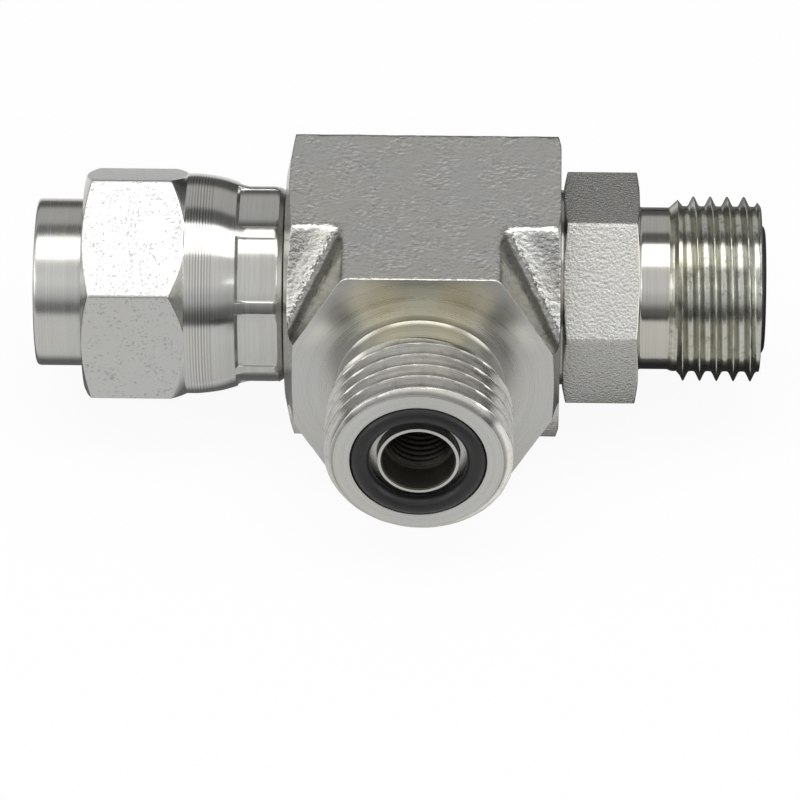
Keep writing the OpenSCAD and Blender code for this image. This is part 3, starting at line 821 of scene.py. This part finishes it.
def makeHelicalThread():
    tree, given, result = newTree("helicalThread", "GeometryNodeTree", {
        "Geometry": None, "Major Radius": 0.0087, "Depth": 0.0009, "Pitch": 0.0016, "Start": 0.0,
        "Internal": 0.0, "Crest Share": 0.07, "Flank Angle": math.radians(26), "Root Round": 0.0004,
        "Crest Round": 0.00006, "Wear": 0.00004, "Wear Scale": 1100.0, "Material": None}, ["Geometry"])
    position = Wire(tree.nodes.new("GeometryNodeInputPosition"))
    major = given["Major Radius"]

    def threadRadius(radius, x, y, z):
        phase = (z - given["Start"]) / given["Pitch"] - calc("ARCTAN2", y, x) / turn
        offCrest = abs(calc("FRACT", phase + 0.5) - 0.5)
        beyondFlat = (offCrest - given["Crest Share"] * 0.5) * given["Pitch"]
        flank = major - beyondFlat / calc("TANGENT", given["Flank Angle"])
        crest = major - remap(noise(position, given["Wear Scale"]), 0.5, 0.75) * given["Wear"]
        cut = calc("SMOOTH_MAX", flank, major - given["Depth"], given["Root Round"])
        cut = calc("SMOOTH_MIN", cut, crest, given["Crest Round"])
        return between(given["Internal"], calc("MINIMUM", radius, cut), calc("MAXIMUM", radius, cut))

    return moveTagged(tree, given, result, "threaded", threadRadius)


def makeCrimpMarks():
    tree, given, result = newTree("crimpMarks", "GeometryNodeTree", {
        "Geometry": None, "Dies": 8.0, "Turn": 0.0, "Half Width": 0.33, "Die Radius": 0.0125,
        "Depth Radius": 0.0091, "Start": 0.0, "End": 0.0, "Edge": 0.00015, "Material": None}, ["Geometry"])
    dies, dieRadius, halfWidth, edge = (given[key] for key in ("Dies", "Die Radius", "Half Width", "Edge"))

    def pressedRadius(radius, x, y, z):
        cell = calc("FRACT", (calc("ARCTAN2", y, x) - given["Turn"]) * dies / turn + 0.5) - 0.5
        aside = cell * turn / dies
        middle = given["Depth Radius"] - dieRadius
        sideways = middle * calc("SINE", aside)
        chord = calc("SQRT", dieRadius * dieRadius - sideways * sideways)
        pressed = calc("MAXIMUM", radius - (middle * calc("COSINE", aside) + chord), 0.0)
        across = remap(abs(aside), halfWidth - edge / given["Depth Radius"], halfWidth, 1.0, 0.0)
        entering = remap(z, given["Start"], given["Start"] + edge)
        leaving = remap(z, given["End"] - edge, given["End"], 1.0, 0.0)
        return radius - pressed * (across * (entering * leaving))

    return moveTagged(tree, given, result, "crimped", pressedRadius)


# Two crossed hexagonal bars with filleted valleys, rounded edges and a rough skin, as a meshed volume
def makeCrossedForging():
    tree, given, result = newTree("crossedForging", "GeometryNodeTree", {
        "Geometry": None, "Half Height": 0.01255, "Half Length": 0.013, "Front": 0.0155, "Back Land": 0.0142,
        "Valley": 0.0012, "Edge": 0.0005, "Skin Depth": 0.00004, "Skin Scale": 900.0, "Voxel": 0.00025,
        "Margin": 0.0006, "Material": None}, ["Geometry"])
    position = Wire(tree.nodes.new("GeometryNodeInputPosition"))
    x, y, z = split(position)
    absX, absY, absZ = abs(x), abs(y), abs(z)
    slant = math.cos(math.radians(30))

    def hexSide(across):
        return across * slant + absZ * 0.5 - given["Half Height"]

    runSide = calc("MAXIMUM", hexSide(absY), absY - given["Back Land"])
    branchSide = calc("MAXIMUM", hexSide(absX), y)
    cross = calc("SMOOTH_MIN", runSide, branchSide, given["Valley"])
    capped = calc("SMOOTH_MAX", cross, absZ - given["Half Height"], given["Edge"])
    ends = calc("MAXIMUM", absX - given["Half Length"], y * -1.0 - given["Front"])
    skin = (noise(position, given["Skin Scale"]) - 0.5) * given["Skin Depth"]
    density = (calc("MAXIMUM", capped, ends) + skin) * (-1 / mm)
    side, top, back, front = (given[key] + given["Margin"]
                              for key in ("Half Length", "Half Height", "Back Land", "Front"))
    counts = [size / given["Voxel"] for size in (side * 2.0, back + front, top * 2.0)]
    volume = addNode(tree, "GeometryNodeVolumeCube", {
        "Density": density, "Background": -10.0, "Min": join(side * -1.0, front * -1.0, top * -1.0),
        "Max": join(side, back, top), "Resolution X": counts[0], "Resolution Y": counts[1],
        "Resolution Z": counts[2]})
    meshing = {"Volume": Wire(volume), "Threshold": 0.0, "Adaptivity": 0.0}
    return finishTree(Wire(addNode(tree, "GeometryNodeVolumeToMesh", meshing)), given, result)


helicalThread = makeHelicalThread()
crimpMarks = makeCrimpMarks()
crossedForging = makeCrossedForging()


# Runs one of the trees on the piece and keeps its result as the piece's plain mesh
def grow(piece, tree, values):
    modifier = piece.modifiers.new(tree.name, "NODES")
    modifier.node_group = tree
    sockets = {item.name: item.identifier for item in tree.interface.items_tree if item.in_out == "INPUT"}
    for name, value in values.items():
        modifier[sockets[name]] = value
    keepResult(piece)


def keepResult(piece):
    bpy.context.view_layer.update()
    evaluated = piece.evaluated_get(bpy.context.evaluated_depsgraph_get())
    mesh = bpy.data.meshes.new_from_object(evaluated)
    piece.modifiers.clear()
    piece.data = mesh


# Boolean of two closed pieces that use the same list of finishes. The other piece is used up.
def combine(piece, other, operation):
    modifier = piece.modifiers.new(operation.lower(), "BOOLEAN")
    modifier.operation = operation
    modifier.object = other
    modifier.solver = "MANIFOLD"
    modifier.material_mode = "INDEX"
    keepResult(piece)
    bpy.data.objects.remove(other)


# Puts the mesh in its place, shades it and hands it to the frame
def settle(piece, matrix, body, node, sharp=32):
    piece.data.transform(matrix)
    piece.data.shade_smooth()
    piece.data.set_sharp_from_angle(angle=math.radians(sharp))
    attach(piece, body)
    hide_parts(node)
    loose = sum(edge.is_loose for edge in piece.data.edges)
    print(piece.name, "faces:", len(piece.data.polygons), "loose edges:", loose)


# Distance from the axis to a hexagon with rounded corners, one of them at cornerAngle
def hexRadius(angles, acrossFlats, cornerAngle, fillet):
    flat = acrossFlats / 2
    offCorner = np.abs((angles - cornerAngle + turn / 12) % (turn / 6) - turn / 12)
    fromFlat = turn / 12 - offCorner
    centre = (flat - fillet) / math.cos(turn / 12)
    sideways = centre * np.sin(offCorner)
    rounded = centre * np.cos(offCorner) + np.sqrt(np.maximum(fillet ** 2 - sideways ** 2, 0))
    tangent = math.atan2((flat - fillet) * math.tan(turn / 12), flat)
    return np.where(fromFlat < tangent, flat / np.cos(fromFlat), rounded)


# World angle around the run, from the front horizon over the top, as an angle of the turned frame
def turnedAngle(worldDegrees):
    return math.radians(270 - worldDegrees) % turn


def hexCorners(worldDegrees):
    return [(turnedAngle(worldDegrees) + turn / 6 * i) % turn for i in range(6)]


def slopeOf(degrees):
    return math.tan(math.radians(degrees))


# The male flat face end that the branch and the run adapter share
faceEnd = {
    "crestRadius": 8.725,
    "threadDepth": 0.92,
    "pitch": 1.5875,
    "neckRadius": 7.65,
    "landRadius": 7.75,
    "chamferLength": 0.68,
    "firstCrest": 0.66,  # from the face to the middle of the first crest, at the crest's own angle
    "threadLength": 8.4,  # from the face to where the thread has run out
    "rootChamfer": 0.9,
    "runOut": 0.25,
    "grooveRadius": 6.3,
    "rimRadius": 3.775,
    "boreRadius": 3.35,
    "grooveDepth": 1.35,
    "rimSetback": 0.13,
    "rowsPerPitch": 20,
}


# Outline from the neck's end over the thread and the sealing face to the rim of the bore
def faceEndOutline(face, neckFinish, threadFinish, boreFinish):
    e = faceEnd
    threadStart = face - e["threadLength"]
    chamfer, floor, rim = face - e["chamferLength"], face - e["grooveDepth"], face - e["rimSetback"]
    rows = round((e["threadLength"] - e["chamferLength"]) / e["pitch"] * e["rowsPerPitch"])
    return [
        corner(e["neckRadius"], threadStart - e["runOut"], 0.12, neckFinish, 3, 1),
        corner(e["crestRadius"], threadStart + e["rootChamfer"], 0, threadFinish, rows, 1),
        corner(e["crestRadius"], chamfer, 0, threadFinish, 8, 1),
        corner(e["landRadius"], face, 0.1, neckFinish, 2),
        corner(e["grooveRadius"], face, 0.08, neckFinish),
        corner(e["grooveRadius"], floor, 0.12, neckFinish),
        corner(e["rimRadius"], floor, 0.12, neckFinish),
        corner(e["rimRadius"], rim, 0.06, neckFinish),
        corner(e["boreRadius"], rim, 0.1, boreFinish),
    ]


def threadValues(major, depth, pitch, start, finishName, internal=0.0, flankAngle=26):
    return {"Major Radius": major * mm, "Depth": depth * mm, "Pitch": pitch * mm, "Start": start * mm,
            "Internal": internal, "Flank Angle": math.radians(flankAngle), "Material": finishes[finishName]}


def faceEndThread(face, finishName, flankAngle):
    return threadValues(faceEnd["crestRadius"], faceEnd["threadDepth"], faceEnd["pitch"],
                        face - faceEnd["firstCrest"], finishName, 0.0, flankAngle)


# Swivel nut
nut = {
    "acrossFlats": 20.64,
    "corner": 31.6,  # degrees from the front horizon
    "fillet": 0.35,
    "faceRadius": 10.15,
    "frontSlope": 26,
    "hexLength": 9.65,
    "hexStep": 0.05,  # from where the rear slope meets the barrel's radius to the barrel
    "rearSlope": 42,
    "barrelRadius": 10.42,
    "barrelLength": 1.2,
    "waistRadius": 10.12,
    "waistLength": 5.85,  # from the rear end to where the crimping bends the barrel
    "skirtRadius": 9.39,
    "skirtLength": 3.5,
    "footRadius": 9.5,
    "footLength": 0.4,
    "skirtEdge": (0.75, 0.5),
    "boreRadius": 7.1,
    "boreLength": 3.55,
    "coneLength": 3.2,
    "reliefRadius": 8.85,
    "minorRadius": 8.05,
    "majorRadius": 8.8,
    "threadStart": 1.75,
    "threadEnd": 9.7,
    "threadRunOut": 0.6,
    "threadRows": 0.8,  # share of the face end's rows per pitch
    "mouthRadius": 8.9,
    "mouthLength": 0.9,
    "crimpDies": 8,
    "crimpTurn": 46.3,  # degrees from the front horizon to the middle of a mark
    "crimpHalfWidth": 19.2,
    "crimpDieRadius": 12.5,
    "crimpDepth": 0.24,
    "crimpStart": 4.3,  # both measured forward from the rear end
    "crimpEnd": 0.49,
    "crimpEdge": 0.1,
    "finishes": ["nutHex", "nutTurned", "nutBarrel"],
}


def makeNut():
    n = nut
    corners = hexCorners(n["corner"])
    dies = [turnedAngle(n["crimpTurn"]) + turn * i / n["crimpDies"] for i in range(n["crimpDies"])]
    halfMark = math.radians(n["crimpHalfWidth"])
    edges = [(d + side * halfMark) % turn for d in dies for side in (-1, 1)]
    columns = columnAngles(216, corners + edges, [math.radians(a) for a in (0.4, 0.9, 1.5)])
    radius = hexRadius(columns, n["acrossFlats"], corners[0], n["fillet"])
    front, back = nutFront, nutBack
    hexBack = front + n["hexLength"]
    frontEdge = front + (radius - n["faceRadius"]) * slopeOf(n["frontSlope"])
    beyondBarrel = np.maximum(radius - n["barrelRadius"], 0)
    rearEdge = hexBack - n["hexStep"] - beyondBarrel * slopeOf(n["rearSlope"])
    skirt, boreEnd, threadEnd = back - n["skirtLength"], back - n["boreLength"], front + n["threadEnd"]
    threadLength = n["threadEnd"] - n["mouthLength"]
    rows = round(threadLength / faceEnd["pitch"] * faceEnd["rowsPerPitch"] * n["threadRows"])
    hexagon, turned, barrel = range(3)
    outline = [
        corner(n["mouthRadius"], front, 0.06, turned, 2),
        corner(n["faceRadius"], front, 0.05, turned, 3),
        corner(radius, frontEdge, 0.1, hexagon, 14),
        corner(radius, rearEdge, 0.1, turned, 3),
        corner(n["barrelRadius"], hexBack, 0.05, barrel, 2),
        corner(n["barrelRadius"], hexBack + n["barrelLength"], 0.9, barrel, 6),
        corner(n["waistRadius"], back - n["waistLength"], 0.8, barrel, 18, 2),
        corner(n["footRadius"], skirt - n["footLength"], 0.6, turned, 6, 2),
        corner(n["skirtRadius"], skirt, 0.3, turned, 44, 2),
        corner(n["skirtRadius"], back - n["skirtEdge"][0], 0.3, turned, 4, 2),
        corner(n["skirtRadius"] - n["skirtEdge"][1], back, 0.12, turned, 2),
        corner(n["boreRadius"], back, 0.1, turned),
        corner(n["boreRadius"], boreEnd, 0.2, turned),
        corner(n["reliefRadius"], boreEnd - n["coneLength"], 0.2, turned),
        corner(n["reliefRadius"], threadEnd, 0.1, turned, 3, 1),
        corner(n["minorRadius"], threadEnd - n["threadRunOut"], 0, turned, rows, 1),
        corner(n["minorRadius"], front + n["mouthLength"], 0, turned, 8, 1),
    ]
    piece = turnedMesh("swivel_nut_turned", outline, columns, n["finishes"])
    threadDepth = n["majorRadius"] - n["minorRadius"]
    grow(piece, helicalThread, threadValues(n["majorRadius"], threadDepth, faceEnd["pitch"],
                                            front + n["threadStart"], "nutTurned", 1.0))
    grow(piece, crimpMarks, {
        "Dies": float(n["crimpDies"]), "Turn": turnedAngle(n["crimpTurn"]), "Half Width": halfMark,
        "Die Radius": n["crimpDieRadius"] * mm, "Depth Radius": (n["skirtRadius"] - n["crimpDepth"]) * mm,
        "Start": (back - n["crimpStart"]) * mm, "End": (back - n["crimpEnd"]) * mm,
        "Edge": n["crimpEdge"] * mm, "Material": finishes["nutTurned"]})
    settle(piece, ontoRun, "nut", "swivel_nut")


makeNut()

# Run adapter
adapter = {
    "acrossFlats": 19.05,
    "corner": 10.83,  # degrees from the front horizon
    "fillet": 0.4,
    "faceRadius": 9.45,
    "rearSlope": 12,
    "frontSlope": 9,
    "hexLength": 7.1,
    "bearingHeight": 0.3,
    "bearingRadius": 9.2,
    "studRadius": 7.1,
    "studDepth": 0.75,
    "studPitch": 1.411,
    "studFirst": 0.9,
    "studChamfer": (0.35, 1.1),  # how far the stud's end narrows below its roots, and over which length
    "studRunOut": 0.7,
    "undercutCone": 0.3,
    "undercutRadius": 6.0,
    "undercutLength": 2.55,
    "neckFillet": 0.3,
    "finishes": ["adapterHex", "adapterTurned", "adapterThread", "adapterBore"],
}


def makeAdapter():
    a = adapter
    corners = hexCorners(a["corner"])
    columns = columnAngles(216, corners, [math.radians(angle) for angle in (0.4, 0.9, 1.5, 2.2)])
    radius = hexRadius(columns, a["acrossFlats"], corners[0], a["fillet"])
    hexLow = bodyEnd + a["bearingHeight"]
    hexHigh = hexLow + a["hexLength"]
    beyondFace = np.maximum(radius - a["faceRadius"], 0.02)
    undercut = bodyEnd - a["undercutLength"]
    minor = a["studRadius"] - a["studDepth"]
    narrowing, chamfer = a["studChamfer"]
    hexagon, turned, thread, bore = range(4)
    outline = [
        corner(faceEnd["boreRadius"], studEnd, 0.1, turned, 2),
        corner(minor - narrowing, studEnd, 0.05, turned, 2, 1),
        corner(a["studRadius"], studEnd + chamfer, 0, turned, 60, 1),
        corner(a["studRadius"], undercut - a["studRunOut"], 0, turned, 6, 1),
        corner(a["undercutRadius"], undercut + a["undercutCone"], 0.2, turned),
        corner(a["undercutRadius"], bodyEnd, 0.15, turned, 2),
        corner(a["bearingRadius"], bodyEnd, 0.08, turned),
        corner(a["bearingRadius"], hexLow, 0.05, turned),
        corner(a["faceRadius"], hexLow, 0.05, turned, 2),
        corner(radius, hexLow + beyondFace * slopeOf(a["rearSlope"]), 0.12, hexagon, 12),
        corner(radius, hexHigh - beyondFace * slopeOf(a["frontSlope"]), 0.12, turned, 2),
        corner(a["faceRadius"], hexHigh, 0.06, turned, 3),
        corner(faceEnd["neckRadius"], hexHigh, a["neckFillet"], turned, 4),
    ] + faceEndOutline(runFace, turned, thread, bore)
    piece = turnedMesh("run_adapter_turned", outline, columns, a["finishes"])
    # The two threads differ in pitch, so each is cut while only its own points are tagged.
    onStud = np.array([v.co.z < bodyEnd * mm for v in piece.data.vertices])
    everyThread = np.zeros(len(onStud), bool)
    piece.data.attributes["threaded"].data.foreach_get("value", everyThread)
    stud = threadValues(a["studRadius"], a["studDepth"], a["studPitch"], studEnd + a["studFirst"],
                        "adapterThread")
    for chosen, values in ((onStud, stud), (~onStud, faceEndThread(runFace, "adapterThread", 26))):
        piece.data.attributes["threaded"].data.foreach_set("value", everyThread & chosen)
        grow(piece, helicalThread, values)
    settle(piece, ontoRun, "valve_body", "run_adapter")


makeAdapter()

# Tee body: the forging, cut by the turned envelope, with the tail, the branch end and the bores
body = {
    "front": 15.2,
    "leftConeRadius": 10.8,
    "leftSlope": 12,
    "rightConeRadius": 13.35,
    "rightSlope": 16,
    "backLand": 14.2,
    "valley": 2.2,
    "edge": 0.8,
    "skinDepth": 0.13,
    "skinGrain": 0.55,  # lumps per mm
    "voxel": 0.3,
    "spare": 0.5,  # how far the forging stands out where it is turned off
    "beyond": 34.0,  # radius at which the turned cones end, outside the forging
    "limitRadius": 60,  # of the disc that holds all behind the turned front face
    "limitBack": -40,
    "clear": 1.0,  # how far cutting solids stand out of the run, and the tail into the forging
    "neckFoot": 7.4,
    "neckFootStart": 8.0,
    "neckFlare": (0.35, 0.3),  # how far the neck widens at the front face, and over which length
    "tailHeadRadius": 7.9,
    "tailHeadLength": 5.0,
    "tailShankRadius": 6.6,
    "tailEdge": 0.4,
    "tailBoreRadius": 3.4,
    "tailBoreChamfer": (1.3, 0.3),  # its widening outside the face, and its depth in the face
    "cartridgeRadius": 6.35,
    "seatStart": -9.0,
    "recessRadius": 7.8,
    "recessDepth": 1.74,
    "recessCone": 0.8,
    "studClearance": 0.06,
    "branchBoreChamfer": (0.6, 0.12, 0.3),  # widening, depth below the rim, and height over the face
    "orificeStep": 3.1,
    "orificeCone": (0.35, 0.05),  # where the step's cone starts and ends, before the step
    "orificeFirst": 0.6,  # from the step to the middle of the first groove
    "orificeRunOut": 0.9,
    "orificeRadius": 3.06,
    "orificeDepth": 0.26,
    "orificePitch": 0.75,
    "orificeGrooves": 14,
    "finishes": ["forgedSkin", "bodyTurnedRun", "bodyTurnedBranch", "bodyThread", "bodyBore", "bodyDeep"],
}
runFinish, branchFinish, threadFinish, boreFinish, deepFinish = range(1, 6)


def giveBodyFinishes(piece):
    piece.data.materials.clear()
    for name in body["finishes"]:
        piece.data.materials.append(finishes[name])


# Gives a piece the body's list of finishes again, in the same order, after a tree has run on it
def keepFinishes(piece):
    order = [finishes[name].name for name in body["finishes"]]
    wanted = np.array([order.index(slot.name) for slot in piece.data.materials], np.int32)
    indices = np.zeros(len(piece.data.polygons), np.int32)
    piece.data.polygons.foreach_get("material_index", indices)
    giveBodyFinishes(piece)
    piece.data.polygons.foreach_set("material_index", wanted[indices])


# A turned solid that is joined to the body or taken from it, threaded where it is tagged
def bodySolid(name, columns, place, outline, thread=None):
    piece = turnedMesh(name, outline, columns, body["finishes"], bored=False)
    if thread:
        grow(piece, helicalThread, thread)
        keepFinishes(piece)
    piece.data.transform(place)
    return piece


def makeForging():
    b = body
    piece = addMesh("tee_body_forged", [], [])
    grow(piece, crossedForging, {
        "Half Height": axisZ, "Half Length": (bodyEnd + b["spare"]) * mm,
        "Front": (b["front"] + b["spare"]) * mm, "Back Land": b["backLand"] * mm,
        "Valley": b["valley"] * mm, "Edge": b["edge"] * mm, "Skin Depth": b["skinDepth"] * mm,
        "Skin Scale": b["skinGrain"] / mm, "Voxel": b["voxel"] * mm, "Material": finishes["forgedSkin"]})
    giveBodyFinishes(piece)
    piece.data.transform(Matrix.Translation((0, 0, axisZ)))
    print("forging faces:", len(piece.data.polygons))
    return piece


# What the lathe leaves of the forging around the run, as a closed solid
def turnedEnvelope(columns):
    left, right, beyond = body["leftConeRadius"], body["rightConeRadius"], body["beyond"]
    return bodySolid("envelope", columns, ontoRun, [
        corner(0, -bodyEnd, 0, runFinish),
        corner(left, -bodyEnd, 0.12, runFinish),
        corner(beyond, -bodyEnd + (beyond - left) * slopeOf(body["leftSlope"]), 0, runFinish),
        corner(beyond, bodyEnd - (beyond - right) * slopeOf(body["rightSlope"]), 0, runFinish),
        corner(right, bodyEnd, 0.12, runFinish),
        corner(0, bodyEnd, 0, runFinish),
    ])


# Everything behind the turned front face, as a closed disc around the branch
def frontLimit(columns):
    return bodySolid("front_limit", columns, ontoBranch, [
        corner(0, body["limitBack"], 0, branchFinish),
        corner(body["limitRadius"], body["limitBack"], 0, branchFinish),
        corner(body["limitRadius"], body["front"], 0, branchFinish, 2),
        corner(0, body["front"], 0, branchFinish),
    ])


# Neck, thread, sealing face and groove of the branch, closed at its foot inside the forging
def branchEnd(columns):
    front, foot, neck = body["front"], body["neckFoot"], faceEnd["neckRadius"]
    flare, flareLength = body["neckFlare"]
    outline = [
        corner(0, body["neckFootStart"], 0, branchFinish),
        corner(foot, body["neckFootStart"], 0, branchFinish),
        corner(foot, front - 2 * flareLength, 0, branchFinish),
        corner(neck + flare, front - flareLength, 0, branchFinish),
        corner(neck, front + flareLength, 0.25, branchFinish, 3),
    ] + faceEndOutline(branchFace, branchFinish, threadFinish, branchFinish)
    rim = branchFace - faceEnd["rimSetback"]
    outline[-1]["point"] = (3.0, rim)
    outline.append(corner(0, rim, 0, branchFinish))
    return bodySolid("branch_end", columns, ontoBranch, outline, faceEndThread(branchFace, "bodyThread", 30))


def tail(columns):
    head, shank = body["tailHeadRadius"], body["tailShankRadius"]
    headBack = tailFace + body["tailHeadLength"]
    return bodySolid("tail", columns, ontoRun, [
        corner(0, tailFace, 0, runFinish),
        corner(head, tailFace, body["tailEdge"], runFinish, 6),
        corner(head, headBack, 0.15, runFinish),
        corner(shank, headBack, 0.2, runFinish),
        corner(shank, -bodyEnd + body["clear"], 0, runFinish),
        corner(0, -bodyEnd + body["clear"], 0, runFinish),
    ])


# Bore of the tail, the cartridge's pocket and the threaded port, as one solid to take away
def runBore(columns):
    b, a = body, adapter
    studMinor = a["studRadius"] - a["studDepth"] + b["studClearance"]
    recess = bodyEnd - b["recessDepth"]
    widening, depth = b["tailBoreChamfer"]
    return bodySolid("run_bore", columns, ontoRun, [
        corner(0, tailFace - b["clear"], 0, boreFinish),
        corner(b["tailBoreRadius"] + widening, tailFace - b["clear"], 0, boreFinish),
        corner(b["tailBoreRadius"], tailFace + depth, 0.1, boreFinish),
        corner(b["tailBoreRadius"], b["seatStart"], 0.05, boreFinish),
        corner(b["cartridgeRadius"], b["seatStart"], 0.1, boreFinish),
        corner(b["cartridgeRadius"], studEnd - 0.4, 0.05, boreFinish),
        corner(studMinor, studEnd - 0.3, 0, boreFinish, 60, 1),
        corner(studMinor, recess - b["recessCone"], 0.05, boreFinish),
        corner(b["recessRadius"], recess, 0.1, boreFinish),
        corner(b["recessRadius"], bodyEnd + b["clear"], 0, boreFinish),
        corner(0, bodyEnd + b["clear"], 0, boreFinish),
    ], threadValues(a["studRadius"] + b["studClearance"], a["studDepth"], a["studPitch"],
                    studEnd + a["studFirst"], "bodyBore", 1.0))


def branchBore(columns):
    b, bore = body, faceEnd["boreRadius"]
    stepAt = branchFace - b["orificeStep"]
    minor = b["orificeRadius"] - b["orificeDepth"]
    threadFoot = stepAt - b["orificeRunOut"] - b["orificeGrooves"] * b["orificePitch"]
    coneStart, coneEnd = b["orificeCone"]
    widening, below, over = b["branchBoreChamfer"]
    return bodySolid("branch_bore", columns, ontoBranch, [
        corner(0, 0, 0, deepFinish),
        corner(minor, 0, 0, deepFinish),
        corner(minor, threadFoot, 0, deepFinish, b["orificeGrooves"] * 10, 1),
        corner(minor, stepAt - coneStart, 0, deepFinish, 3, 1),
        corner(b["orificeRadius"], stepAt - coneEnd, 0, boreFinish),
        corner(bore, stepAt, 0, boreFinish),
        corner(bore, branchFace - faceEnd["rimSetback"] - below, 0, boreFinish),
        corner(bore + widening, branchFace + over, 0, boreFinish),
        corner(0, branchFace + over, 0, boreFinish),
    ], threadValues(b["orificeRadius"], b["orificeDepth"], b["orificePitch"],
                    stepAt - b["orificeFirst"], "bodyDeep", 1.0))


def makeBody():
    coarse, middling, fine = columnAngles(96), columnAngles(144), columnAngles(216)
    piece = makeForging()
    combine(piece, turnedEnvelope(fine), "INTERSECT")
    combine(piece, frontLimit(coarse), "INTERSECT")
    combine(piece, branchEnd(fine), "UNION")
    combine(piece, tail(middling), "UNION")
    combine(piece, runBore(middling), "DIFFERENCE")
    combine(piece, branchBore(coarse), "DIFFERENCE")
    settle(piece, Matrix.Identity(4), "valve_body", "tee_body")


makeBody()


# Small pieces that keep their CAD solids
def makeRubber():
    material, inputs, place = surface("seal_rubber", 0.0)
    skin = groupNode(blastedSkin, {"Vector": place, "Grain": 5.0, "Stretch": 1.0})
    feed(inputs["Base Color"], (0.008, 0.008, 0.008, 1))
    feed(inputs["Specular IOR Level"], 0.35)
    feed(inputs["Roughness"], remap(skin["Height"], 0.3, 0.7, 0.34, 0.5, "LINEAR"))
    feed(inputs["Normal"], bump(skin["Height"], 0.01))
    return material


def innerMetal(name, grey, warm, roughness):
    look = turnedLook | {"grey": grey, "warm": warm, "roughness": roughness, "depth": 0.002}
    return turnedZinc(name, look)


sealRubber = makeRubber()
hardened = innerMetal("hardened_ground", (0.42, 0.41, 0.39, 1), (0.44, 0.41, 0.35, 1), 0.2)
brass = innerMetal("cage_brass", (0.55, 0.4, 0.16, 1), (0.6, 0.42, 0.15, 1), 0.24)
polished = innerMetal("ball_polished", (0.6, 0.6, 0.6, 1), (0.6, 0.59, 0.57, 1), 0.05)
blackened = innerMetal("blackened_steel", (0.06, 0.06, 0.065, 1), (0.08, 0.07, 0.06, 1), 0.35)
innerFinishes = {
    "branch_face_seal": sealRubber, "run_face_seal": sealRubber, "adapter_stud_seal": sealRubber,
    "left_seat_seal": sealRubber, "right_seat_seal": sealRubber, "thrust_ring": hardened,
    "left_seat": hardened, "right_seat": hardened, "ball_cage": brass, "shuttle_ball": polished,
    "orifice_screw": blackened,
}
for nodeName, material in innerFinishes.items():
    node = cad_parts[nodeName]
    node.data.materials.clear()
    node.data.materials.append(material)
print("inner pieces dressed:", len(innerFinishes))

bpy.context.view_layer.update()
